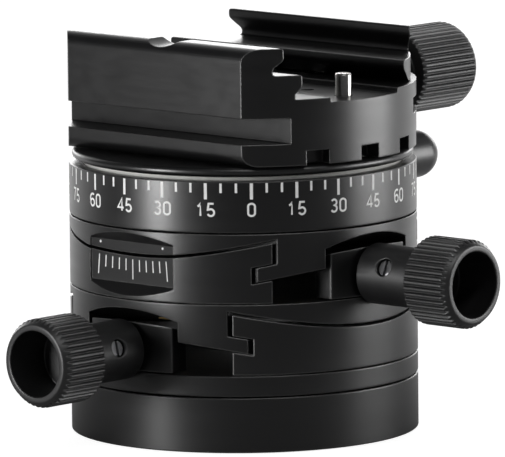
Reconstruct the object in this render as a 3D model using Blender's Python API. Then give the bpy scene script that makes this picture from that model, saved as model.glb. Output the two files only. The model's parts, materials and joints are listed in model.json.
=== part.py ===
"""Geared leveling head for a tripod, with two worm driven tilt stages, a pan scale and a plate clamp.

Z is the pan axis and the underside of the base is at zero. The upper knob points along +X, the lower
knob along -Y, and the clamp and pan lock knobs along +Y. All lengths are in metres.
"""
import math

import bmesh
import bpy
from mathutils import Matrix, Vector

# Fits and mesh fineness
SEAT_GAP = 0.0003
SHAFT_GAP = 0.0003
SLIDE_SIDE_GAP = 0.0009
OVERRUN = 0.004
SWEEP_OVERRUN = 0.012
MERGE_DISTANCE = 0.000001
BODY_SIDES = 72
SMALL_SIDES = 20
HOLE_SIDES = 12
KNOB_SIDES = 24
SPINDLE_SIDES = 48
ARC_STEPS = 22
FILLET_STEPS = 5

# Round body and the heights of its layers
BODY_RADIUS = 0.0375
BASE_HEIGHT = 0.0118
BASE_CHAMFER = 0.0005
PLATE_HEIGHT = 0.0047
LOWER_STAGE_HEIGHT = 0.0153
UPPER_STAGE_HEIGHT = 0.0151
SCALE_RING_HEIGHT = 0.0113
SCALE_RING_CHAMFER = 0.0006

# Tripod bush and the screws that hold the base to the lower plate
BUSH_RADIUS = 0.0075
BUSH_THREAD_RADIUS = 0.0046
BUSH_THREAD_DEPTH = 0.0098
BUSH_RECESS = 0.0002
BASE_SCREW_COUNT = 3
BASE_SCREW_TURN_DEGREES = 57.3
BASE_SCREW_INSET = 0.0115
BASE_SCREW_RADIUS = 0.002
BASE_SCREW_HEAD_RADIUS = 0.0038
BASE_SCREW_HEAD_HEIGHT = 0.0022
BASE_SCREW_BITE = 0.0036
BASE_SCREW_SOCKET_RADIUS = 0.0014
BASE_SCREW_SOCKET_DEPTH = 0.0014
BASE_SCREW_RECESS = 0.0003

# Curved slide of a tilt stage, measured from the stage floor and from its tilt axis
ARC_RADIUS = 0.11
RAIL_FLOOR = 0.0091
RAIL_WIDTH = 0.0142
RAIL_GROOVE_DEPTH = 0.0033
GROOVE_TOP = 0.0042
GROOVE_BOTTOM = 0.0077
CHANNEL_HALF_WIDTH = 0.0129
CHANNEL_CEILING = 0.0034
CHANNEL_ARCH = 0.0014
CHANNEL_ARCH_SHARES = (0.75, 0.5, 0.25)
TILT_RANGE_DEGREES = 10.0
ARC_HALF_ANGLE_DEGREES = 24.0

# Worm drive of a tilt stage
WORM_HEIGHT = 0.0049
WORM_RADIUS = 0.0026
SHAFT_RADIUS = 0.0016
WORM_TURNS_PER_RANGE = 8
WORM_CREST_SHARE = 0.28
WORM_FLANK_SHARE = 0.06
WORM_SIDES = 12
TOOTH_CLEARANCE = 0.00025
SECTOR_HALF_WIDTH = 0.0035
SECTOR_BACK = 0.0007
SECTOR_SPARE_TEETH = 2
BLOCK_HALF_WIDTH = 0.0116
BLOCK_CREST = 0.0046
BLOCK_THICKNESS = 0.0064
BEARING_RADIUS = 0.003
SHAFT_END_INSET = 0.0012

# Knobs of the tilt stages, along their axis
LOWER_KNOB_STANDOFF = 0.0013
UPPER_KNOB_STANDOFF = 0.0006
KNOB_HUB_REACH = 0.016
KNOB_SHAFT_INSET = 0.0022
LOWER_SET_SCREW_REACH = 0.0088
UPPER_SET_SCREW_REACH = 0.0079
KNOB_RADIUS = 0.0095
KNOB_RIB_COUNT = 44
KNOB_RIB_DEPTH = 0.0007
KNOB_RIB_CREST_SHARE = 0.45
KNOB_CHAMFER = 0.0006
KNOB_HUB_RADIUS = 0.0065
KNOB_HUB_CHAMFER = 0.0004
KNOB_GRIP_LENGTH = 0.0124
KNOB_RECESS_RADIUS = 0.0071
KNOB_RECESS_DEPTH = 0.0105
SET_SCREW_RADIUS = 0.0017
SET_SCREW_RECESS = 0.0007
SET_SCREW_SLOT_WIDTH = 0.0006
SET_SCREW_SLOT_DEPTH = 0.0008
LOWER_SET_SCREW_RISE_DEGREES = 15.0
UPPER_SET_SCREW_RISE_DEGREES = 24.0

# Tilt scale pocket on the front of the upper stage
SCALE_POCKET_DEPTH = 0.0024
SCALE_POCKET_HALF_LENGTH = 0.012
SCALE_POCKET_LOW = 0.0033
SCALE_POCKET_HIGH = 0.0121

# Pan bearing inside the scale ring
SCALE_RING_WALL = 0.0112
SPINDLE_BORE_RADIUS = 0.0043
SPINDLE_WELL_RADIUS = 0.0073
SPINDLE_WELL_DEPTH = 0.0042
BRAKE_GROOVE_DEPTH = 0.0015
BRAKE_GROOVE_HALF_WIDTH = 0.0026
PAN_BOLT_RADIUS = 0.004
PAN_BOLT_HEAD_RADIUS = 0.0068
PAN_BOLT_HEAD_HEIGHT = 0.0023
PAN_BOLT_BITE = 0.0036
PAN_BOLT_SOCKET_RADIUS = 0.003
PAN_BOLT_SOCKET_DEPTH = 0.0016
PAN_WASHER_THICKNESS = 0.0008
GLIDE_RIM = 0.003
GLIDE_WIDTH = 0.0055
GLIDE_THICKNESS = 0.0009
TURNTABLE_GROOVE = 0.0009
TURNTABLE_INSET = 0.0007
TURNTABLE_THICKNESS = 0.0019
TURNTABLE_ROUNDING = 0.0007

# Pan lock: a bronze shoe in the ring, pushed by a screw with a domed knob
LOCK_RISE = 0.0063
LOCK_SCREW_RADIUS = 0.0022
LOCK_SCREW_LENGTH = 0.0185
LOCK_KNOB_RADIUS = 0.0053
LOCK_KNOB_LENGTH = 0.0202
LOCK_KNOB_HUB_RADIUS = 0.0036
LOCK_KNOB_HUB_LENGTH = 0.0029
LOCK_KNOB_STANDOFF = 0.0006
SHOE_RADIUS = 0.0025
SHOE_NOSE_RADIUS = 0.0013
SHOE_NOSE_LENGTH = 0.0009
SHOE_LENGTH = 0.0028

# Clamp body, as a section across the plate channel
CLAMP_FRONT_INSET = 0.0096
CLAMP_FOOT_ROUNDING = 0.0026
FRONT_FOOT_HEIGHT = 0.0047
FRONT_SLOT_HEIGHT = 0.0055
FRONT_SLOT_DEPTH = 0.0082
FRONT_SLOT_COVER = 0.0039
CLAMP_TOP_ROUNDING = 0.003
FRONT_JAW_WIDTH = 0.0069
FRONT_LIP_FACE_HEIGHT = 0.0026
FRONT_LIP_DROP = 0.0017
REAR_LIP_FACE_HEIGHT = 0.0019
REAR_LIP_DROP = 0.0025
LIP_UNDERCUT = 0.0019
LIP_EDGE_CHAMFER = 0.0003
LIP_HEIGHT = 0.0058
FRONT_LEDGE_WIDTH = 0.0035
LEDGE_STEP = 0.0052
FRONT_LEDGE_HEIGHT = 0.0026
FRONT_LEDGE_UNDERCUT = 0.0013
FRONT_LEDGE_DROP = 0.0014
REAR_LEDGE_HEIGHT = 0.0018
REAR_LEDGE_UNDERCUT = 0.0038
SIDE_FLOOR_WIDTH = 0.0062
RELIEF_DEPTH = 0.001
SHELF_WIDTH = 0.0281
REAR_SLOT_COVER = 0.0034
REAR_SLOT_HEIGHT = 0.0034
REAR_SLOT_DEPTH = 0.0186
SCOOP_PLACE = 0.0009
SCOOP_RADIUS = 0.0079
SCOOP_DEPTH = 0.0013
NOTCH_COUNT = 17
NOTCH_TURN_DEGREES = -1.2
NOTCH_WIDTH = 0.0054
NOTCH_HEIGHT = 0.0031
NOTCH_DEPTH = 0.0035
NOTCH_REACH_SHARE = 0.48
FLOOR_HOLE_RADIUS = 0.0015
FLOOR_HOLE_DEPTH = 0.006
FLOOR_HOLE_INSET = 0.0196
FLOOR_HOLE_PLACE_Y = 0.0012
CLAMP_BOLT_COUNT = 4
CLAMP_BOLT_INSET = 0.0055
CLAMP_BOLT_RADIUS = 0.0015
CLAMP_BOLT_HEAD_RADIUS = 0.0027
CLAMP_BOLT_HEAD_HEIGHT = 0.0024
CLAMP_BOLT_BITE = 0.005
CLAMP_BOLT_TURN_DEGREES = 33.0

# Spring loaded stop pin in the clamp floor
STOP_PIN_INSET = 0.0072
STOP_PIN_PLACE_Y = -0.0012
STOP_PIN_RADIUS = 0.00175
STOP_PIN_HEIGHT = 0.0048
STOP_PIN_CHAMFER = 0.0003
STOP_PIN_COLLAR_RADIUS = 0.0024
STOP_PIN_COLLAR_HEIGHT = 0.001
STOP_PIN_CEILING = 0.0028
STOP_SPRING_WIRE = 0.0004
STOP_SPRING_TURNS = 6
STOP_SPRING_POINTS_PER_TURN = 10

# Rear jaw, its drive lug and the clamp knob that runs on a fixed stud
JAW_SHIFT = 0.0018
REAR_JAW_WIDTH = 0.0126
REAR_LEDGE_WIDTH = 0.0106
JAW_LUG_THICKNESS = 0.0052
JAW_LUG_HALF_WIDTH = 0.008
JAW_WING_HALF_WIDTH = 0.015
JAW_TRAVEL_IN = 0.012
STUD_COVER = 0.0034
STUD_RADIUS = 0.0025
STUD_SEAT_DEPTH = 0.0054
STUD_REACH = 0.013
STUD_WALL_INSET = 0.0215
SLEEVE_RADIUS = 0.0042
SLEEVE_BORE_RADIUS = 0.0028
RETAINER_RADIUS = 0.0054
RETAINER_THICKNESS = 0.001
RETAINER_GROOVE_DEPTH = 0.0006
SLEEVE_TIP = 0.0006
CLAMP_HUB_RADIUS = 0.0062
CLAMP_HUB_LENGTH = 0.0132
CLAMP_GRIP_LENGTH = 0.0182
CLAMP_KNOB_END_WALL = 0.003
CLAMP_KNOB_CHAMFER = 0.0012

# Heights and places that follow from the sizes above
PLATE_BOTTOM = BASE_HEIGHT
LOWER_STAGE_BOTTOM = PLATE_BOTTOM + PLATE_HEIGHT
UPPER_STAGE_BOTTOM = LOWER_STAGE_BOTTOM + LOWER_STAGE_HEIGHT
RING_BOTTOM = UPPER_STAGE_BOTTOM + UPPER_STAGE_HEIGHT
RING_TOP = RING_BOTTOM + SCALE_RING_HEIGHT
TURNTABLE_BOTTOM = RING_TOP + TURNTABLE_GROOVE
TURNTABLE_TOP = TURNTABLE_BOTTOM + TURNTABLE_THICKNESS
CLAMP_BOTTOM = TURNTABLE_TOP + SEAT_GAP
FRONT_SLOT_FLOOR = CLAMP_BOTTOM + FRONT_FOOT_HEIGHT
FRONT_SLOT_ROOF = FRONT_SLOT_FLOOR + FRONT_SLOT_HEIGHT
SIDE_FLOOR = FRONT_SLOT_ROOF + FRONT_SLOT_COVER
RELIEF_FLOOR = SIDE_FLOOR - RELIEF_DEPTH
UPPER_FLOOR = SIDE_FLOOR + LEDGE_STEP
CLAMP_TOP = UPPER_FLOOR + LIP_HEIGHT
REAR_SLOT_ROOF = SIDE_FLOOR - REAR_SLOT_COVER
REAR_SLOT_FLOOR = REAR_SLOT_ROOF - REAR_SLOT_HEIGHT
STUD_HEIGHT = SIDE_FLOOR - STUD_COVER
LUG_POCKET_FLOOR = STUD_HEIGHT - CLAMP_HUB_RADIUS - SEAT_GAP
LOCK_HEIGHT = RING_BOTTOM + LOCK_RISE
BASE_SCREW_CIRCLE = BODY_RADIUS - BASE_SCREW_INSET
RAIL_INNER = BODY_RADIUS - RAIL_WIDTH
KNOB_GRIP_START = BODY_RADIUS + KNOB_HUB_REACH
KNOB_SHAFT_END = KNOB_GRIP_START - KNOB_SHAFT_INSET
LOWER_SET_SCREW_PLACE = BODY_RADIUS + LOWER_SET_SCREW_REACH
UPPER_SET_SCREW_PLACE = BODY_RADIUS + UPPER_SET_SCREW_REACH
SCALE_POCKET_PLANE = BODY_RADIUS - SCALE_POCKET_DEPTH
SPINDLE_RADIUS = BODY_RADIUS - SCALE_RING_WALL - SHAFT_GAP
GLIDE_OUTER_RADIUS = BODY_RADIUS - GLIDE_RIM
GLIDE_INNER_RADIUS = GLIDE_OUTER_RADIUS - GLIDE_WIDTH
TURNTABLE_RADIUS = BODY_RADIUS - TURNTABLE_INSET
CLAMP_BOLT_CIRCLE = SPINDLE_RADIUS - CLAMP_BOLT_INSET
CLAMP_FRONT = BODY_RADIUS - CLAMP_FRONT_INSET
FRONT_SLOT_BACK = CLAMP_FRONT - FRONT_SLOT_DEPTH
FRONT_LIP = CLAMP_FRONT - FRONT_JAW_WIDTH
FRONT_LEDGE = FRONT_LIP - FRONT_LEDGE_WIDTH
RELIEF_FRONT = FRONT_LEDGE - SIDE_FLOOR_WIDTH
RELIEF_REAR = BODY_RADIUS - SHELF_WIDTH
REAR_SLOT_FRONT = BODY_RADIUS - REAR_SLOT_DEPTH
FLOOR_HOLE_PLACE_X = BODY_RADIUS - FLOOR_HOLE_INSET
STOP_PIN_PLACE_X = BODY_RADIUS - STOP_PIN_INSET
REAR_LIP = BODY_RADIUS - REAR_JAW_WIDTH
REAR_LEDGE = REAR_LIP - REAR_LEDGE_WIDTH
JAW_LUG_FRONT = BODY_RADIUS - JAW_SHIFT - JAW_LUG_THICKNESS
STUD_WALL = BODY_RADIUS - STUD_WALL_INSET
STUD_SEAT_START = STUD_WALL - STUD_SEAT_DEPTH
STUD_END = BODY_RADIUS + STUD_REACH
TILT_ARM = RAIL_FLOOR + ARC_RADIUS
LOWER_TURN = math.radians(-90)
UPPER_TURN = 0.0
WORM_ARM = TILT_ARM - WORM_HEIGHT
SECTOR_TIP_RADIUS = WORM_ARM - SHAFT_RADIUS - TOOTH_CLEARANCE
SECTOR_ROOT_RADIUS = WORM_ARM - WORM_RADIUS - TOOTH_CLEARANCE
SECTOR_PITCH_RADIUS = (SECTOR_TIP_RADIUS + SECTOR_ROOT_RADIUS) / 2
SECTOR_BACK_RADIUS = ARC_RADIUS - SECTOR_BACK
TOOTH_ANGLE = math.radians(TILT_RANGE_DEGREES) / WORM_TURNS_PER_RANGE
WORM_LEAD = SECTOR_PITCH_RADIUS * TOOTH_ANGLE
WORM_HALF_LENGTH = SECTOR_SPARE_TEETH * WORM_LEAD

BLACK_ANODISED = ((0.02, 0.02, 0.021), 0.38, 0.6)
BLACK_KNOB = ((0.028, 0.028, 0.029), 0.5, 0.4)
BRIGHT_STEEL = ((0.62, 0.62, 0.62), 0.25, 1.0)
DARK_STEEL = ((0.09, 0.09, 0.095), 0.4, 1.0)
BRASS = ((0.72, 0.5, 0.2), 0.35, 1.0)
BRONZE = ((0.55, 0.33, 0.16), 0.4, 1.0)
WHITE_PLASTIC = ((0.75, 0.75, 0.72), 0.5, 0.0)


def clear_scene():
    for item in list(bpy.data.objects):
        bpy.data.objects.remove(item, do_unlink=True)


def solid(name, bm):
    """Close up a bmesh as one object with its faces pointing out."""
    bmesh.ops.remove_doubles(bm, verts=bm.verts, dist=MERGE_DISTANCE)
    bmesh.ops.recalc_face_normals(bm, faces=bm.faces)
    mesh = bpy.data.meshes.new(name)
    bm.to_mesh(mesh)
    bm.free()
    item = bpy.data.objects.new(name, mesh)
    bpy.context.scene.collection.objects.link(item)
    return item


def turned(name, profile, sides=SMALL_SIDES):
    """Turn a closed outline of (radius, height) points once round Z."""
    bm = bmesh.new()
    points = [bm.verts.new((radius, 0, height)) for radius, height in profile]
    edges = []
    for index, point in enumerate(points):
        following = points[(index + 1) % len(points)]
        if point.co.x > 0 or following.co.x > 0:
            edges.append(bm.edges.new((point, following)))
    bmesh.ops.spin(bm, geom=points + edges, cent=(0, 0, 0), axis=(0, 0, 1), dvec=(0, 0, 0),
                   angle=2 * math.pi, steps=sides)
    return solid(name, bm)


def round_bar(name, radius, low, high, sides=SMALL_SIDES):
    return turned(name, [(0, low), (radius, low), (radius, high), (0, high)], sides)


def tube(name, inner, outer, low, high, sides=SMALL_SIDES):
    return turned(name, [(inner, low), (outer, low), (outer, high), (inner, high)], sides)


def lofted(name, rings):
    """Join rings of equally many points by quads and cap the first and the last."""
    bm = bmesh.new()
    rows = [[bm.verts.new(point) for point in ring] for ring in rings]
    count = len(rows[0])
    for row, above in zip(rows, rows[1:]):
        for index in range(count):
            following = (index + 1) % count
            bm.faces.new((row[index], row[following], above[following], above[index]))
    bm.faces.new(rows[0])
    bm.faces.new(rows[-1])
    return solid(name, bm)


def prism(name, outline, start, end, axis):
    """Extrude a flat outline from start to end along X, Y or Z; its points keep the other two axes."""
    def lift(point, along):
        if axis == "X":
            return (along, point[0], point[1])
        if axis == "Y":
            return (point[0], along, point[1])
        return (point[0], point[1], along)
    return lofted(name, [[lift(point, along) for point in outline] for along in (start, end)])


def block(name, low, high):
    outline = [(low[0], low[1]), (high[0], low[1]), (high[0], high[1]), (low[0], high[1])]
    return prism(name, outline, low[2], high[2], "Z")


def arc_points(centre, radius, start_degrees, end_degrees, steps=FILLET_STEPS):
    angles = [math.radians(start_degrees + (end_degrees - start_degrees) * index / steps)
              for index in range(steps + 1)]
    return [(centre[0] + radius * math.cos(angle), centre[1] + radius * math.sin(angle))
            for angle in angles]


def swept(name, section, axis_height, half):
    """Carry a section of (side, radius) points along an arc about the tilt axis, parallel to Y."""
    bm = bmesh.new()
    points = [bm.verts.new((-radius * math.sin(half), side, axis_height - radius * math.cos(half)))
              for side, radius in section]
    edges = [bm.edges.new((point, points[(index + 1) % len(points)]))
             for index, point in enumerate(points)]
    bmesh.ops.spin(bm, geom=points + edges, cent=(0, 0, axis_height), axis=(0, -1, 0),
                   dvec=(0, 0, 0), angle=2 * half, steps=ARC_STEPS)
    bmesh.ops.holes_fill(bm, edges=bm.edges, sides=0)
    return solid(name, bm)


def combine(item, tool, operation="DIFFERENCE"):
    """Apply a Boolean to the item and remove the tool."""
    modifier = item.modifiers.new("cut", "BOOLEAN")
    modifier.operation = operation
    modifier.object = tool
    bpy.context.view_layer.update()
    depsgraph = bpy.context.evaluated_depsgraph_get()
    mesh = bpy.data.meshes.new_from_object(item.evaluated_get(depsgraph))
    item.modifiers.clear()
    item.data = mesh
    bpy.data.objects.remove(tool, do_unlink=True)
    return item


def aimed(item, direction, origin):
    """Turn an object made along Z to lie along a direction, starting at the origin point."""
    turn = Vector((0, 0, 1)).rotation_difference(Vector(direction)).to_matrix().to_4x4()
    item.data.transform(Matrix.Translation(origin) @ turn)
    return item


def rotated(item, angle):
    item.data.transform(Matrix.Rotation(angle, 4, "Z"))
    return item


def moved(item, place):
    item.data.transform(Matrix.Translation(place))
    return item


def finish(item, look):
    """Smooth the round faces and give the object its material."""
    colour, roughness, metallic = look
    material = bpy.data.materials.new(item.name)
    material.use_nodes = True
    shader = material.node_tree.nodes["Principled BSDF"]
    shader.inputs["Base Color"].default_value = (*colour, 1)
    shader.inputs["Roughness"].default_value = roughness
    shader.inputs["Metallic"].default_value = metallic
    item.data.materials.clear()
    item.data.materials.append(material)
    item.data.shade_smooth()
    item.data.set_sharp_from_angle(angle=math.radians(30))
    item.data.name = item.name
    return item


def body_bar(low, high):
    return round_bar("body_bar", BODY_RADIUS, low, high, BODY_SIDES)


def polar(radius, angle, height=0.0):
    return (radius * math.cos(angle), radius * math.sin(angle), height)


# Base
def base_screw_places():
    turn = math.radians(BASE_SCREW_TURN_DEGREES)
    return [turn + 2 * math.pi * index / BASE_SCREW_COUNT for index in range(BASE_SCREW_COUNT)]


def screw_profile(radius, head_radius, head_height, length, grow=0.0):
    """Countersunk screw standing on its head; grow widens it into the hole it needs."""
    return [(0, 0), (head_radius + grow, 0), (radius + grow, head_height + grow),
            (radius + grow, length + grow), (0, length + grow)]


def build_base():
    disc = turned("base_disc", [
        (0, 0), (BODY_RADIUS - BASE_CHAMFER, 0), (BODY_RADIUS, BASE_CHAMFER),
        (BODY_RADIUS, BASE_HEIGHT), (0, BASE_HEIGHT)], BODY_SIDES)
    combine(disc, round_bar("bush_hole", BUSH_RADIUS + SEAT_GAP, -OVERRUN, BASE_HEIGHT + OVERRUN))
    plate = round_bar("lower_plate", BODY_RADIUS, PLATE_BOTTOM + SEAT_GAP, LOWER_STAGE_BOTTOM,
                      BODY_SIDES)
    bush = turned("tripod_bush", [
        (BUSH_THREAD_RADIUS, BUSH_RECESS), (BUSH_RADIUS, BUSH_RECESS), (BUSH_RADIUS, BASE_HEIGHT),
        (0, BASE_HEIGHT), (0, BUSH_THREAD_DEPTH), (BUSH_THREAD_RADIUS, BUSH_THREAD_DEPTH)])
    length = BASE_HEIGHT - BASE_SCREW_RECESS + SEAT_GAP + BASE_SCREW_BITE
    screws = []
    for number, angle in enumerate(base_screw_places(), start=1):
        place = polar(BASE_SCREW_CIRCLE, angle, BASE_SCREW_RECESS)
        hole_profile = screw_profile(BASE_SCREW_RADIUS, BASE_SCREW_HEAD_RADIUS,
                                     BASE_SCREW_HEAD_HEIGHT, length, SEAT_GAP)
        hole_profile[0] = (0, -OVERRUN)
        hole_profile.insert(1, (BASE_SCREW_HEAD_RADIUS + SEAT_GAP, -OVERRUN))
        combine(disc, moved(turned("hole", hole_profile, HOLE_SIDES), place))
        combine(plate, moved(turned("hole", hole_profile, HOLE_SIDES), place))
        screw = turned(f"base_screw_{number}", screw_profile(
            BASE_SCREW_RADIUS, BASE_SCREW_HEAD_RADIUS, BASE_SCREW_HEAD_HEIGHT, length), HOLE_SIDES)
        combine(screw, round_bar("socket", BASE_SCREW_SOCKET_RADIUS, -OVERRUN,
                                 BASE_SCREW_SOCKET_DEPTH, 6))
        screws.append(finish(moved(screw, place), DARK_STEEL))
    finish(disc, BLACK_ANODISED)
    finish(plate, BLACK_ANODISED)
    finish(bush, BRIGHT_STEEL)
    return [disc, plate, bush] + screws


# Tilt stage, built with its knob along +X and then turned to its own direction
def rail_section(side):
    inner = side * RAIL_INNER
    groove = side * (RAIL_INNER + RAIL_GROOVE_DEPTH)
    outer = side * (BODY_RADIUS + OVERRUN)
    deep = TILT_ARM + SWEEP_OVERRUN
    return [(inner, ARC_RADIUS), (outer, ARC_RADIUS), (outer, deep), (inner, deep),
            (inner, ARC_RADIUS + GROOVE_BOTTOM), (groove, ARC_RADIUS + GROOVE_BOTTOM),
            (groove, ARC_RADIUS + GROOVE_TOP), (inner, ARC_RADIUS + GROOVE_TOP)]


def slider_section(height):
    """Half of the section of the slider, mirrored into the whole outline."""
    shallow = TILT_ARM - height - OVERRUN - (BODY_RADIUS ** 2 / ARC_RADIUS) / 2
    neck = RAIL_INNER - SLIDE_SIDE_GAP
    tongue = RAIL_INNER + RAIL_GROOVE_DEPTH - SLIDE_SIDE_GAP
    crown = ARC_RADIUS + CHANNEL_CEILING - CHANNEL_ARCH
    half = [(BODY_RADIUS + OVERRUN, shallow), (BODY_RADIUS + OVERRUN, ARC_RADIUS - SEAT_GAP),
            (neck, ARC_RADIUS - SEAT_GAP), (neck, ARC_RADIUS + GROOVE_TOP + SEAT_GAP),
            (tongue, ARC_RADIUS + GROOVE_TOP + SEAT_GAP),
            (tongue, ARC_RADIUS + GROOVE_BOTTOM - SEAT_GAP),
            (CHANNEL_HALF_WIDTH, ARC_RADIUS + GROOVE_BOTTOM - SEAT_GAP),
            (CHANNEL_HALF_WIDTH, ARC_RADIUS + CHANNEL_CEILING)]
    half += [(CHANNEL_HALF_WIDTH * share, crown + CHANNEL_ARCH * share ** 2)
             for share in CHANNEL_ARCH_SHARES]
    return half + [(-side, radius) for side, radius in reversed(half)]


def sector_slot_section():
    side = SECTOR_HALF_WIDTH + SEAT_GAP
    deep = ARC_RADIUS + GROOVE_BOTTOM
    back = SECTOR_BACK_RADIUS - SEAT_GAP
    return [(-side, back), (side, back), (side, deep), (-side, deep)]


def block_section():
    deep = TILT_ARM + SWEEP_OVERRUN
    crest = ARC_RADIUS + BLOCK_CREST
    return [(-BLOCK_HALF_WIDTH, crest), (BLOCK_HALF_WIDTH, crest),
            (BLOCK_HALF_WIDTH, deep), (-BLOCK_HALF_WIDTH, deep)]


def sector_outline(axis_height):
    """Toothed edge below, plain arc above, as (x, z) points about the tilt axis."""
    count = 2 * (WORM_TURNS_PER_RANGE + SECTOR_SPARE_TEETH)
    tip_half = TOOTH_ANGLE * WORM_CREST_SHARE / 2
    root_half = TOOTH_ANGLE * (WORM_CREST_SHARE / 2 + WORM_FLANK_SHARE)
    end = TOOTH_ANGLE * count / 2
    polar_points = [(-end, SECTOR_ROOT_RADIUS)]
    for index in range(count):
        middle = TOOTH_ANGLE * (index + 0.5) - end
        polar_points += [(middle - root_half, SECTOR_ROOT_RADIUS), (middle - tip_half, SECTOR_TIP_RADIUS),
                         (middle + tip_half, SECTOR_TIP_RADIUS), (middle + root_half, SECTOR_ROOT_RADIUS)]
    polar_points.append((end, SECTOR_ROOT_RADIUS))
    polar_points += [(end - 2 * end * index / ARC_STEPS, SECTOR_BACK_RADIUS)
                     for index in range(ARC_STEPS + 1)]
    return [(radius * math.sin(angle), axis_height - radius * math.cos(angle))
            for angle, radius in polar_points]


def worm_shaft(name, start, end):
    """Shaft along Z with a right-hand thread round its middle, drawn as one helical grid."""
    rows_per_lead = [(0, SHAFT_RADIUS), (WORM_FLANK_SHARE, WORM_RADIUS),
                     (WORM_FLANK_SHARE + WORM_CREST_SHARE, WORM_RADIUS),
                     (2 * WORM_FLANK_SHARE + WORM_CREST_SHARE, SHAFT_RADIUS)]
    first_root = -WORM_LEAD * (WORM_CREST_SHARE / 2 + WORM_FLANK_SHARE)
    turns = math.ceil(WORM_HALF_LENGTH / WORM_LEAD) + 1
    grid = []
    for column in range(WORM_SIDES + 1):
        angle = 2 * math.pi * column / WORM_SIDES
        across = (-math.cos(angle), -math.sin(angle))
        stations = [(start, 0), (start, SHAFT_RADIUS)]
        for turn in range(-turns, turns + 1):
            for share, radius in rows_per_lead:
                along = first_root + WORM_LEAD * (turn + share + column / WORM_SIDES)
                inside = abs(along) < WORM_HALF_LENGTH
                limited = max(-WORM_HALF_LENGTH, min(WORM_HALF_LENGTH, along))
                stations.append((limited, radius if inside else SHAFT_RADIUS))
        stations += [(end, SHAFT_RADIUS), (end, 0)]
        grid.append([(across[0] * radius, across[1] * radius, along) for along, radius in stations])
    bm = bmesh.new()
    points = [[bm.verts.new(point) for point in column] for column in grid]
    for column, following in zip(points, points[1:]):
        for index in range(len(column) - 1):
            bm.faces.new((column[index], following[index], following[index + 1], column[index + 1]))
    return solid(name, bm)


def ribbed_grip(name, start, length, chamfer):
    """Ribbed bar along Z with chamfered ends."""
    pitch = 2 * math.pi / KNOB_RIB_COUNT
    corners = []
    for index in range(KNOB_RIB_COUNT):
        middle = pitch * index
        crest_half = pitch * KNOB_RIB_CREST_SHARE / 2
        corners += [(middle - crest_half, KNOB_RADIUS), (middle + crest_half, KNOB_RADIUS),
                    (middle + pitch / 2, KNOB_RADIUS - KNOB_RIB_DEPTH)]

    def ring(height, limit):
        return [polar(min(radius, limit), angle, height) for angle, radius in corners]
    return lofted(name, [ring(start, KNOB_RADIUS - chamfer), ring(start + chamfer, KNOB_RADIUS),
                         ring(start + length - chamfer, KNOB_RADIUS),
                         ring(start + length, KNOB_RADIUS - chamfer)])


def build_knob(name, screw_name, height, standoff, screw_place, rise_degrees, facing):
    """Knob and its set screw, along +X; the screw faces sideways and is tipped up."""
    start = BODY_RADIUS + standoff
    tip = KNOB_GRIP_START + KNOB_GRIP_LENGTH
    knob = ribbed_grip(name, KNOB_GRIP_START, KNOB_GRIP_LENGTH, KNOB_CHAMFER)
    combine(knob, turned("hub", [
        (0, start), (KNOB_HUB_RADIUS - KNOB_HUB_CHAMFER, start), (KNOB_HUB_RADIUS, start + KNOB_HUB_CHAMFER),
        (KNOB_HUB_RADIUS, KNOB_GRIP_START + KNOB_CHAMFER), (0, KNOB_GRIP_START + KNOB_CHAMFER)], KNOB_SIDES),
        "UNION")
    combine(knob, round_bar("recess", KNOB_RECESS_RADIUS, tip - KNOB_RECESS_DEPTH, tip + OVERRUN, KNOB_SIDES))
    combine(knob, round_bar("bore", SHAFT_RADIUS + SHAFT_GAP, start - OVERRUN,
                            KNOB_SHAFT_END + SEAT_GAP))
    aimed(knob, (1, 0, 0), (0, 0, height))
    rise = math.radians(rise_degrees)
    direction = (0, facing * math.cos(rise), math.sin(rise))
    origin = (screw_place, 0, height)
    combine(knob, aimed(round_bar("hole", SET_SCREW_RADIUS + SHAFT_GAP, 0,
                                  KNOB_HUB_RADIUS + OVERRUN), direction, origin))
    low = SHAFT_RADIUS + SEAT_GAP
    high = KNOB_HUB_RADIUS - SET_SCREW_RECESS
    screw = round_bar(screw_name, SET_SCREW_RADIUS, low, high)
    combine(screw, block("slot", (-SET_SCREW_SLOT_WIDTH / 2, -SET_SCREW_RADIUS - OVERRUN,
                                  high - SET_SCREW_SLOT_DEPTH),
                         (SET_SCREW_SLOT_WIDTH / 2, SET_SCREW_RADIUS + OVERRUN, high + OVERRUN)))
    aimed(screw, direction, origin)
    return finish(knob, BLACK_KNOB), finish(screw, DARK_STEEL)


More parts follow.
